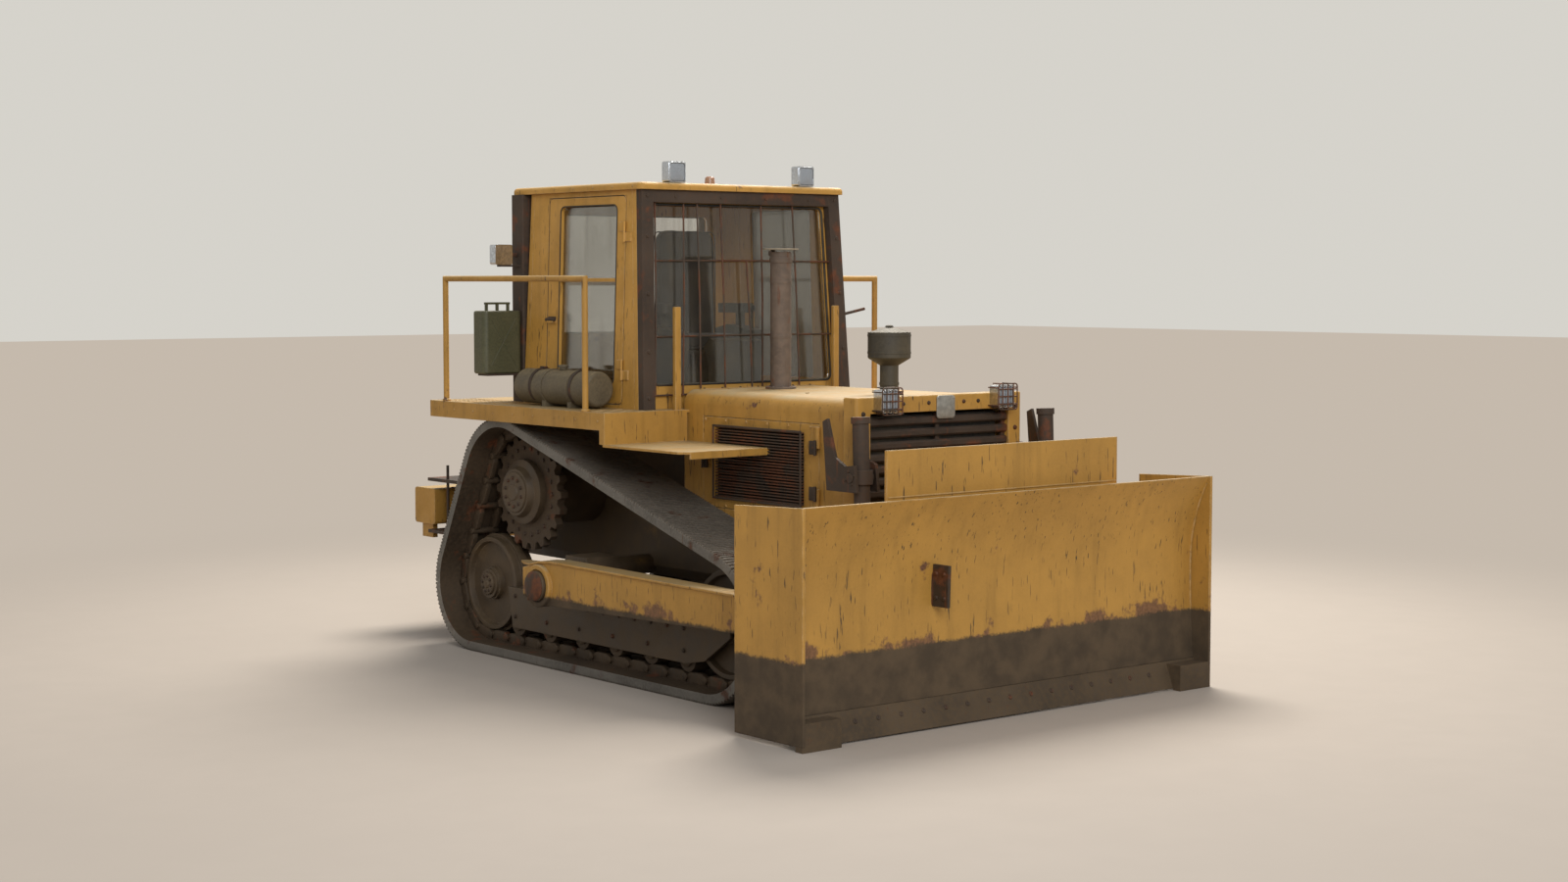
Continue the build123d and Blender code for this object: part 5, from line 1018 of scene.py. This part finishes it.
class BULLDOZER_OT_hood(BulldozerPiece, bpy.types.Operator):
    """Add louvre slats, door frames, hinges, latches, guard bolts and the blank plate"""

    bl_idname = "bulldozer.hood"
    bl_label = "Hood and engine doors"

    def build(self, scene):
        iron, bolts = Shape(), Shape()
        self.louvres()
        self.doors(iron)
        self.guard(bolts)
        iron.finish("hinges_and_latches", "frame", "dark_iron", "dark_iron")
        self.hood_seams(bolts)
        self.grille_strips()
        bolts.finish("hood_bolts", "frame", "bolt_steel", "paint")
        self.plate()

    def louvres(self):
        slats, frames, seams = Shape(), Shape(), Shape()
        front, rear, low, top = LOUVRE_FRONT, LOUVRE_REAR, LOUVRE_LOW, LOUVRE_TOP
        inner_low, inner_top = low + LOUVRE_RIM, top - LOUVRE_RIM
        rims = (
            (front, low, rear, inner_low), (front, inner_top, rear, top),
            (front, inner_low, front + 0.018, inner_top), (rear - 0.018, inner_low, rear, inner_top),
        )
        for side, _ in SIDES:
            x0, x1 = span(side, 0.600, 0.644)
            for number in range(SLAT_COUNT):
                z = inner_low + number * SLAT_PITCH
                slats.box((x0, at(front + 0.015), z), (x1, at(rear - 0.015), z + 0.008), 0.0015)
            x0, x1 = span(side, 0.6465, 0.658)
            for y0, z0, y1, z1 in rims:
                frames.box((x0, at(y0), z0), (x1 - 0.006, at(y1), z1), 0.002)
            for y in spaced(1.300, LATCH_Y, 6):
                for z in (1.212, 1.794):
                    seams.bolt((DOOR_FACE * side, at(y), z), X * side, 0.015, 0.005)
        slats.finish("louvre_slats", "frame", "rusty_iron", "dark_iron")
        frames.finish("louvre_frames", "frame", "guard_iron", "paint")
        seams.finish("engine_door_bolts", "frame", "body_paint", "paint")

    def doors(self, iron):
        """Two hinges and a latch with its handle on each engine door."""
        for side, _ in SIDES:
            x0, x1 = span(side, 0.6465, 0.658)
            bar_x = 0.660 * side
            for z in (1.36, 1.66):
                iron.box((x0, at(1.238), z - 0.045), (x1 + 0.004, at(1.306), z + 0.045), 0.004)
                iron.tube([(bar_x, at(HINGE_Y), z - 0.05), (bar_x, at(HINGE_Y), z + 0.05)], 0.009)
            iron.box((x0, at(2.400), 1.46), (x1 + 0.006, at(2.440), 1.58), 0.005)
            knob = ((0.660, 1.52), (0.676, 1.52), (0.680, 1.46))
            iron.tube([(x * side, at(LATCH_Y), z) for x, z in knob], 0.007)

    def guard(self, bolts):
        for side, _ in SIDES:
            for z in spaced(1.10, 1.90, 7):
                bolts.bolt((0.670 * side, at(GUARD_FRONT), z), -Y, 0.024)
        for x in (-0.33, -0.11, 0.20, 0.33):
            bolts.bolt((x, at(GUARD_FRONT), 1.955), -Y, 0.020)

    def grille_strips(self):
        """Painted strips that show between the dark bars of the grille."""
        strips = Shape()
        section = ((0.800, -0.014), (0.826, 0.004), (0.826, 0.010), (0.800, -0.006))
        for number in range(GRILLE_BARS):
            z = 1.163 + number * GRILLE_PITCH
            strips.prism([(at(y), z + rise) for y, rise in section], 0, -0.606, 0.606, 0.001)
        strips.finish("grille_strips", "frame", "body_paint", "paint")

    def hood_seams(self, bolts):
        strips = Shape()
        low, high = HOOD_TOP + 0.0005, HOOD_TOP + 0.006

        def strip(x, y, half):
            strips.box((x - half, at(y) - 0.012, low), (x + half, at(y) + 0.012, high), 0.002)

        for side, _ in SIDES:
            for y in (1.00, 1.75, 2.60):
                strip(0.30 * side, y, 0.01)
        for y in (0.93, 2.655):
            strip(0, y, 0.52)
            for x in spaced(-0.48, 0.48, 7):
                bolts.bolt((x, at(y), high), Z, 0.014)
        strips.finish("hood_strips", "frame", "body_paint", "paint")

    def plate(self):
        shape = Shape()
        outline = rounded((-0.044, 1.850), (0.116, 2.000), 0.022, 5)
        front = at(0.744)
        shape.prism(outline, 1, front, at(GUARD_FRONT + 0.0005), 0.003)
        for x in (-0.030, 0.102):
            for z in (1.866, HOOD_TOP):
                shape.lathe([(0, 0.007), (0.003, 0.006), (0.004, 0.002)], (x, front, z), -Y, 12)
        shape.finish("blank_plate", "frame", "blank_plate", "dark_iron")


STACK_Y = 2.400
CLEANER_Y = 1.260
STACK_FOOT = [(HOOD_TOP, 0.108), (1.998, 0.108), (2.000, 0.104), (2.000, 0.076)]
CLEANER_KNOB = [(2.4335, 0.030), (2.440, 0.028), (2.446, 0.020), (2.448, 0.006)]
CLEANER_FOOT = [(HOOD_TOP, 0.094), (1.996, 0.094), (1.999, 0.090), (1.999, 0.064)]


class BULLDOZER_OT_stack(BulldozerPiece, bpy.types.Operator):
    """Add the stack's flange and seams, and the air cleaner's bands, knob and foot"""

    bl_idname = "bulldozer.stack"
    bl_label = "Stack and air cleaner"

    def build(self, scene):
        shape = Shape()
        centre = Vector((0, at(STACK_Y), 0))
        shape.lathe(STACK_FOOT, centre, Z, 40)
        for point in ring((0, at(STACK_Y), 1.999), Z, 0.092, 8, 0.3):
            shape.bolt(point, Z, 0.014)
        for z in (2.34, 2.72):
            shape.lathe(band(z, z + 0.022, 0.074, 0.0765), centre, Z, 40)
        shape.finish("stack_flange", "frame", "stack_steel", "wire_rust")
        cleaner = Shape()
        centre = Vector((0, at(CLEANER_Y), 0))
        for z in (2.258, 2.372):
            cleaner.lathe(band(z, z + 0.014, 0.142, 0.1455), centre, Z, 48)
        cleaner.lathe(band(2.05, 2.068, 0.062, 0.066), centre, Z, 36)
        cleaner.lathe(CLEANER_KNOB, centre, Z, 6)
        cleaner.lathe(CLEANER_FOOT, centre, Z, 36)
        for point in ring((0, at(CLEANER_Y), 1.998), Z, 0.079, 6):
            cleaner.bolt(point, Z, 0.012)
        cleaner.finish("cleaner_bands", "frame", "cleaner_grey", "cleaner_grey")


FRONT_LAMP = (0.509, 0.676, 1.980)
ROOF_LAMP = (0.583, 2.826, 3.495)
REAR_LAMP = (1.076, 4.368, 2.930)
LAMP_HALF = 0.070
LAMP_DISH = [(0.0015, 0.054), (0.001, 0.040), (0.0008, 0.020), (0.0006, 0.004)]
CAGE_HALF = 0.085
CAGE_WIRE = 0.0045
CAGE_FRONT, CAGE_BACK = 0.656, 0.753


class BULLDOZER_OT_lamps(BulldozerPiece, bpy.types.Operator):
    """Fit each lamp with a reflector, lens and rim, and rebuild the wire cages"""

    bl_idname = "bulldozer.lamps"
    bl_label = "Lamps"

    def build(self, scene):
        rims, lenses, brackets, cages = Shape(), Shape(), Shape(), Shape()
        for side, _ in SIDES:
            for (x, y, z), way in ((FRONT_LAMP, -1), (ROOF_LAMP, -1), (REAR_LAMP, 1)):
                self.lamp(rims, lenses, Vector((x * side, at(y), z)), way)
            x = ROOF_LAMP[0] * side
            brackets.box((x - 0.03, at(2.840), 3.4195), (x + 0.03, at(2.890), 3.4235), 0.001)
            low, high = span(side, 1.000, 0.930)
            brackets.box((low, at(4.315), 2.915), (high, at(4.345), 2.945), 0.004)
            self.cage(cages, FRONT_LAMP[0] * side, FRONT_LAMP[2])
        rims.finish("lamp_rims", "frame", "chrome", "lamp_chrome")
        lenses.finish("lamp_lenses", "frame", "lamp_glass", "lamp_chrome")
        brackets.finish("lamp_brackets", "frame", "dark_iron", "dark_iron")
        piece = cages.finish("lamp_cage_wires", "frame", "wire_rust", "wire_rust")
        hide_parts("lamp_cages")

    def lamp(self, rims, lenses, centre, way):
        """Rim, dished reflector and lens on the face that looks along Y."""

        def outline(inset, out):
            size = LAMP_HALF - inset
            corners = rounded((-size, -size), (size, size), size * 0.22, 4)
            return [(centre.x + a, centre.y + way * out, centre.z + b) for a, b in corners]

        rims.solid([outline(*step) for step in ((0, -0.002), (0, 0.006), (0.008, 0.008), (0.010, -0.002))])
        rims.lathe(LAMP_DISH, centre, Y * way, 28)
        lenses.solid([outline(*step) for step in ((0.011, 0.0030), (0.011, 0.0050), (0.022, 0.0075))])

    def cage(self, shape, x, z):
        half, front, back = CAGE_HALF, at(CAGE_FRONT), at(CAGE_BACK)

        def wire(*points):
            shape.tube(points, CAGE_WIRE, 8)

        corners = [(x + a, front, z + b) for a, b in rounded((-half, -half), (half, half), 0.02, 3)]
        shape.tube(corners, CAGE_WIRE, 8, wrap=True)
        for share in (-0.5, 0.0, 0.5):
            step = share * half * 1.15
            wire((x + step, front, z - half), (x + step, front, z + half))
            wire((x - half, front, z + step), (x + half, front, z + step))
        stays = [(a, b) for a in (-1, 1) for b in (-0.7, 0.7)]
        stays += [(a, b) for a in (-0.5, 0.5) for b in (-1, 1)]
        for a, b in stays:
            wire((x + a * half, front, z + b * half), (x + a * half, back, z + b * half))


GUARD_RODS = (
    (-0.760, 3.290, -0.815, 1.940),
    (-0.512, 3.290, -0.575, 1.940),
    (-0.393, 3.290, -0.420, 1.940),
    (-0.186, 3.290, -0.200, 1.940),
    (0.030, 2.880, 0.043, 1.940),
    (0.180, 3.290, 0.135, 1.940),
    (0.470, 3.290, 0.480, 1.940),
)
ROD_RADIUS = 0.0065
GUARD_DEPTH = 0.062
DECK_TOP = 1.849
CAB_TOP = 3.370
CAB_HALF_WIDTH = 0.940
WALL_LEAN = 0.050
HANDLE_Z = 2.459
MIRROR_BAR = ((0.900, 2.80, 2.490), (0.935, 2.78, 2.500), (1.083, 2.75, 2.533))
SIDE_WINDOW = ((3.105, 2.015), (3.810, 3.270))
FRONT_WINDOW = ((-0.810, 2.016), (0.810, 3.270))
REAR_WINDOW = ((-0.750, 2.350), (0.750, 3.230))
DOOR_SEAM = ((2.997, 1.878), (3.957, 1.878), (3.957, 3.332), (2.997, 3.332))
WINDOW_CORNER = 0.045


def rise(z):
    """Share of the way from the deck to the cab's top."""
    return (z - DECK_TOP) / (CAB_TOP - DECK_TOP)


def wall_x(z, proud=0.0):
    """Half width of the cab's side walls at a height."""
    return CAB_HALF_WIDTH - WALL_LEAN * rise(z) + proud


def wall_front(z, proud=0.0):
    """Y of the cab's front wall at a height."""
    return at(2.800 + 0.086 * rise(z) - proud)


def wall_rear(z, proud=0.0):
    """Y of the cab's rear wall at a height."""
    return at(4.250 - WALL_LEAN * rise(z) + proud)


class BULLDOZER_OT_cab(BulldozerPiece, bpy.types.Operator):
    """Add window gaskets, handles, roof bolts, guard bolts and the mirror bar"""

    bl_idname = "bulldozer.cab"
    bl_label = "Cab"

    def build(self, scene):
        gaskets, moving = Shape(), Shape()
        window = rounded(*SIDE_WINDOW, WINDOW_CORNER)
        for shape, side in ((moving, 1), (gaskets, -1)):
            shape.tube([(wall_x(z, SUNK) * side, at(y), z) for y, z in window], 0.0045, 8, wrap=True)
        for side, _ in SIDES:
            seam = [(wall_x(z, -0.002) * side, at(y), z) for y, z in DOOR_SEAM]
            gaskets.tube(seam, 0.0028, 6, wrap=True)
        for window, wall in ((FRONT_WINDOW, wall_front), (REAR_WINDOW, wall_rear)):
            outline = rounded(*window, WINDOW_CORNER)
            seam = [(x * wall_x(z) / CAB_HALF_WIDTH, wall(z, SUNK), z) for x, z in outline]
            gaskets.tube(seam, 0.009, 8, wrap=True)
        gaskets.finish("window_gaskets", "frame", "rubber", "seat_base")
        moving.finish("door_gasket_left", "door_left", "rubber", "seat_base")
        self.handle(1).finish("door_handle_left", "door_left", "dark_iron", "dark_iron")
        self.handle(-1).finish("door_handle_right", "frame", "dark_iron", "dark_iron")
        self.roof()
        self.guard()
        bar = Shape()
        bar.tube([(x, at(y), z) for x, y, z in MIRROR_BAR], 0.011, 12)
        bar.finish("mirror_bar", "frame", "rusty_iron", "dark_iron")

    def handle(self, side):
        """Lock plate and bent grip of a cab door."""
        shape = Shape()
        x, z = wall_x(HANDLE_Z), HANDLE_Z
        low, high = span(side, x, x + 0.008)
        shape.box((low, at(3.846), z - 0.022), (high, at(3.940), z + 0.022), 0.003)
        grip = ((0.006, 3.930), (0.030, 3.925), (0.032, 3.815))
        shape.tube([((x + out) * side, at(y), z) for out, y in grip], 0.011, 10)
        return shape

    def roof(self):
        shape = Shape()
        for side, _ in SIDES:
            for y in spaced(2.88, 4.34, 7):
                shape.bolt((0.924 * side, at(y), 3.392), X * side, 0.013, 0.004)
        seat = [(3.4195, 0.060), (3.426, 0.060), (3.428, 0.057), (3.428, 0.048)]
        shape.lathe(seat, Vector((0, at(3.216), 0)), Z, 32)
        shape.finish("roof_bolts", "frame", "body_paint", "paint")

    def guard(self):
        """Leaning posts and top beam with thin bent rods across the windshield."""
        bars = Shape()
        for side, _ in SIDES:
            skins = []
            for z, x, y in (
                (DECK_TOP, CAB_HALF_WIDTH, 2.738), (CAB_TOP, CAB_HALF_WIDTH - WALL_LEAN, 2.824)
            ):
                low, high = span(side, x - 0.100, x)
                corners = ((low, y), (high, y), (high, y + GUARD_DEPTH), (low, y + GUARD_DEPTH))
                skins.append([(across, at(back), z) for across, back in corners])
            bars.solid(skins)
            for z in (1.93, 2.25, 2.65, 3.05, 3.33):
                bars.bolt((wall_x(z, -0.045) * side, wall_front(z, GUARD_DEPTH), z), -Y, 0.024)
        section = ((3.282, 0.0615), (3.3695, 0.0615), (3.3695, SUNK), (3.282, SUNK))
        bars.prism([(wall_front(z, proud), z) for z, proud in section], 0, -0.889, 0.889, 0.004)
        for x in (-0.6, -0.2, 0.2, 0.6):
            bars.bolt((x, wall_front(3.325, 0.061), 3.325), -Y, 0.020)
        posts = bars.finish("guard_frame", "frame", "guard_iron", "dark_iron", 30)
        rods = Shape()
        for x0, z0, x1, z1 in GUARD_RODS:
            middle = ((x0 + x1) / 2 + 0.006, (z0 + z1) / 2, 0.033)
            path = ((x0, z0, 0.031), middle, (x1, z1, 0.031))
            rods.tube([(x, wall_front(z, proud), z) for x, z, proud in path], ROD_RADIUS, 8)
        for z in (2.879, 2.351, 1.945):
            half = wall_x(z, -0.095)
            ends = [(x, wall_front(z, 0.024), z) for x in (-half, half)]
            rods.tube([ends[0], (0, wall_front(z, 0.026), z + 0.004), ends[1]], ROD_RADIUS, 8)
        wires = rods.finish("guard_rods", "frame", "wire_rust", "dark_iron")
        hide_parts("front_guard_frame")
        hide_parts("front_guard_frame")


RAIL_X = 1.315
TANK_X = -1.090
TANK_RADIUS = 0.126
TANK_ROOM = (2.98, 4.06)
TREAD_LEAN = (0.020, 0.012)
RAIL_FOOT = [(-0.001, 0.030), (0.012, 0.030), (0.018, 0.024), (0.018, 0.020)]
TANK_CAP = [(0, 0.030), (0.012, 0.030), (0.016, 0.036), (0.030, 0.036), (0.034, 0.031), (0.034, 0.010)]


class BULLDOZER_OT_deck(BulldozerPiece, bpy.types.Operator):
    """Add tread bars, fascia bolts, rail feet, tank straps and the can's fittings"""

    bl_idname = "bulldozer.deck"
    bl_label = "Decks and rails"

    def build(self, scene):
        treads, heads = Shape(), Shape()
        for side, _ in SIDES:
            self.treads(treads, side)
            for y in spaced(2.72, 4.84, 9):
                heads.bolt((1.340 * side, at(y), 1.790), X * side, 0.014, 0.004)
        heads.finish("fascia_bolts", "frame", "deck_paint", "paint")
        treads.finish("deck_treads", "frame", "deck_paint", "paint")
        self.feet()
        self.tank()
        self.can()

    def treads(self, shape, side):
        """Short raised bars that lean by turns, left out under the tank."""
        z = DECK_TOP - 0.0003
        rows = [(y, x) for y in spaced(2.70, 4.86, 37) for x in spaced(1.00, 1.28, 5)]
        for number, (y, x) in enumerate(rows):
            if side < 0 and TANK_ROOM[0] < y < TANK_ROOM[1]:
                continue
            lean = TREAD_LEAN[0] if number % 2 else -TREAD_LEAN[0]
            ends = (
                (x * side - lean, at(y) - TREAD_LEAN[1], z), (x * side + lean, at(y) + TREAD_LEAN[1], z)
            )
            shape.tube(ends, 0.0038, 6)

    def feet(self):
        feet = Shape()
        for side, ys in ((-1, (2.900, 4.720)), (1, (2.900, 4.060, 4.720))):
            for y in ys:
                feet.lathe(RAIL_FOOT, Vector((RAIL_X * side, at(y), DECK_TOP)), Z, 24)
        feet.finish("rail_feet", "frame", "body_paint", "paint")

    def tank(self):
        straps = Shape()
        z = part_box("deck_tank")[1].z - 0.125
        skin_low, skin_high = TANK_RADIUS - 0.002, TANK_RADIUS + 0.003
        for y in (3.250, 3.750):
            straps.lathe(band(-0.015, 0.015, skin_low, skin_high), (TANK_X, at(y), z), Y, 56)
            low = (TANK_X - 0.016, at(y) - 0.028, z + skin_low)
            high = (TANK_X + 0.016, at(y) + 0.028, z + TANK_RADIUS + 0.012)
            straps.box(low, high, 0.003)
        straps.finish("tank_straps", "frame", "dark_iron", "tank_olive")
        cap = Shape()
        cap.lathe(TANK_CAP, (TANK_X, at(3.500), z + TANK_RADIUS - 0.004), Z, 24)
        cap.finish("tank_cap", "frame", "tank_olive", "tank_olive")

    def can(self):
        """Crossed ribs pressed into both faces of the can."""
        low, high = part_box("fuel_can")
        x0, x1 = low.x + 0.06, high.x - 0.06
        z0, z1 = 2.12, 2.46
        shape = Shape()
        for y in (low.y, high.y):
            shape.bead([(x0, y, z0), (x1, y, z1)], 0.004)
            shape.bead([(x0, y, z1), (x1, y, z0)], 0.004)
        shape.finish("can_ribs", "frame", "can_green", "can_green")


SQUARENESS = 6.0
SEAMS = (-0.5, 0.0, 0.5)


class BULLDOZER_OT_seat(BulldozerPiece, bpy.types.Operator):
    """Pad the seat: a crowned cushion and back with piped edges and sewn channels"""

    bl_idname = "bulldozer.seat"
    bl_label = "Seat"

    def build(self, scene):
        for node, thin in (("seat_cushion", 2), ("seat_back", 1)):
            low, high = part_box(node)
            piece = self.pad(f"{node}_cover", low, high, thin)
            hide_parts(node)

    def pad(self, name, low, high, thin):
        """Pad crowned across its thin axis, its sides drawn in between the corners."""
        middle, half = (low + high) / 2, (high - low) / 2
        part = bmesh.new()
        bmesh.ops.create_cube(part, size=2)
        bmesh.ops.subdivide_edges(part, edges=part.edges[:], cuts=23, use_grid_fill=True)
        wide = [axis for axis in range(3) if axis != thin]
        for vert in part.verts:
            spot = Vector(vert.co)
            spot = spot / sum(abs(value) ** SQUARENESS for value in spot) ** (1 / SQUARENESS)
            crown = 1.0
            for axis in wide:
                crown *= 1 - min(1.0, abs(spot[axis])) ** 4
            pulls = [1 - 0.035 * (1 - abs(spot[axis]) ** 2) for axis in reversed(wide)]
            spot[thin] *= 0.80 + 0.20 * crown
            for axis, pull in zip(wide, pulls):
                spot[axis] *= pull
            channel = sum(math.exp(-((spot[wide[1]] - line) / 0.030) ** 2) for line in SEAMS)
            spot[thin] *= 1 - 0.10 * channel * crown
            vert.co = Vector(middle[axis] + spot[axis] * (half[axis] - SUNK) for axis in range(3))
        shape = Shape()
        shape.take(part)
        corner = rounded((-0.945, -0.945), (0.945, 0.945), 0.16, 5)
        for level in (-0.74, 0.74):
            path = []
            for a, b in corner:
                spot = Vector((0, 0, 0))
                spot[wide[0]] = middle[wide[0]] + a * half[wide[0]]
                spot[wide[1]] = middle[wide[1]] + b * half[wide[1]]
                spot[thin] = middle[thin] + level * half[thin]
                path.append(spot)
            shape.tube(path, 0.005, 8, wrap=True)
        return shape.finish(name, "frame", "seat_fabric", "seat_cover", 60)


class BULLDOZER_OT_rear(BulldozerPiece, bpy.types.Operator):
    """Add bolts to the tool beam and to the yokes of the lift cylinders"""

    bl_idname = "bulldozer.rear"
    bl_label = "Rear beam and lift"

    def build(self, scene):
        shape = Shape()
        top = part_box("rear_beam")[1].z
        for side, _ in SIDES:
            for y in (5.12, 5.50):
                for x in (0.80, 0.55):
                    shape.bolt((x * side, at(y), top), Z, 0.024, 0.010)
        shape.finish("beam_bolts", "frame", "bolt_steel", "dark_iron")
        for side, name in SIDES:
            yoke = Shape()
            for x, way in ((0.913, 1), (0.717, -1)):
                for point in ring((x * side, at(0.600), 1.520), X, 0.042, 4, 0.4):
                    yoke.bolt(point, X * side * way, 0.014, 0.006)
            yoke.finish(f"yoke_bolts_{name}", "frame", "bolt_steel", "dark_iron")


class BULLDOZER_PT_panel(bpy.types.Panel):
    """Sidebar list of every maker and its sizes and colours"""

    bl_idname = "BULLDOZER_PT_panel"
    bl_label = "Crawler bulldozer"
    bl_space_type = "VIEW_3D"
    bl_region_type = "UI"
    bl_category = "Bulldozer"

    def draw(self, context):
        for group in GROUPS:
            part = getattr(context.scene, group)
            box = self.layout.box()
            for name in part.__annotations__:
                box.prop(part, name)
        for maker in MAKERS:
            self.layout.operator(maker.bl_idname)


GROUPS = {
    "bulldozer_paint": PaintSettings,
    "bulldozer_metal": MetalSettings,
    "bulldozer_fittings": FittingSettings,
    "bulldozer_stage": StageSettings,
}
MAKERS = [
    BULLDOZER_OT_finishes,
    BULLDOZER_OT_stage,
    BULLDOZER_OT_tracks,
    BULLDOZER_OT_running_gear,
    BULLDOZER_OT_blade,
    BULLDOZER_OT_hood,
    BULLDOZER_OT_stack,
    BULLDOZER_OT_lamps,
    BULLDOZER_OT_cab,
    BULLDOZER_OT_deck,
    BULLDOZER_OT_seat,
    BULLDOZER_OT_rear,
]
CLASSES = [*GROUPS.values(), *MAKERS, BULLDOZER_PT_panel]


def register():
    for item in CLASSES:
        bpy.utils.register_class(item)
    for name, group in GROUPS.items():
        setattr(bpy.types.Scene, name, PointerProperty(type=group))


def unregister():
    for name in GROUPS:
        delattr(bpy.types.Scene, name)
    for item in reversed(CLASSES):
        bpy.utils.unregister_class(item)


def main():
    register()
    for maker in MAKERS:
        group, name = maker.bl_idname.split(".")
        getattr(getattr(bpy.ops, group), name)()
    bpy.context.view_layer.update()


if __name__ == "__main__":
    main()
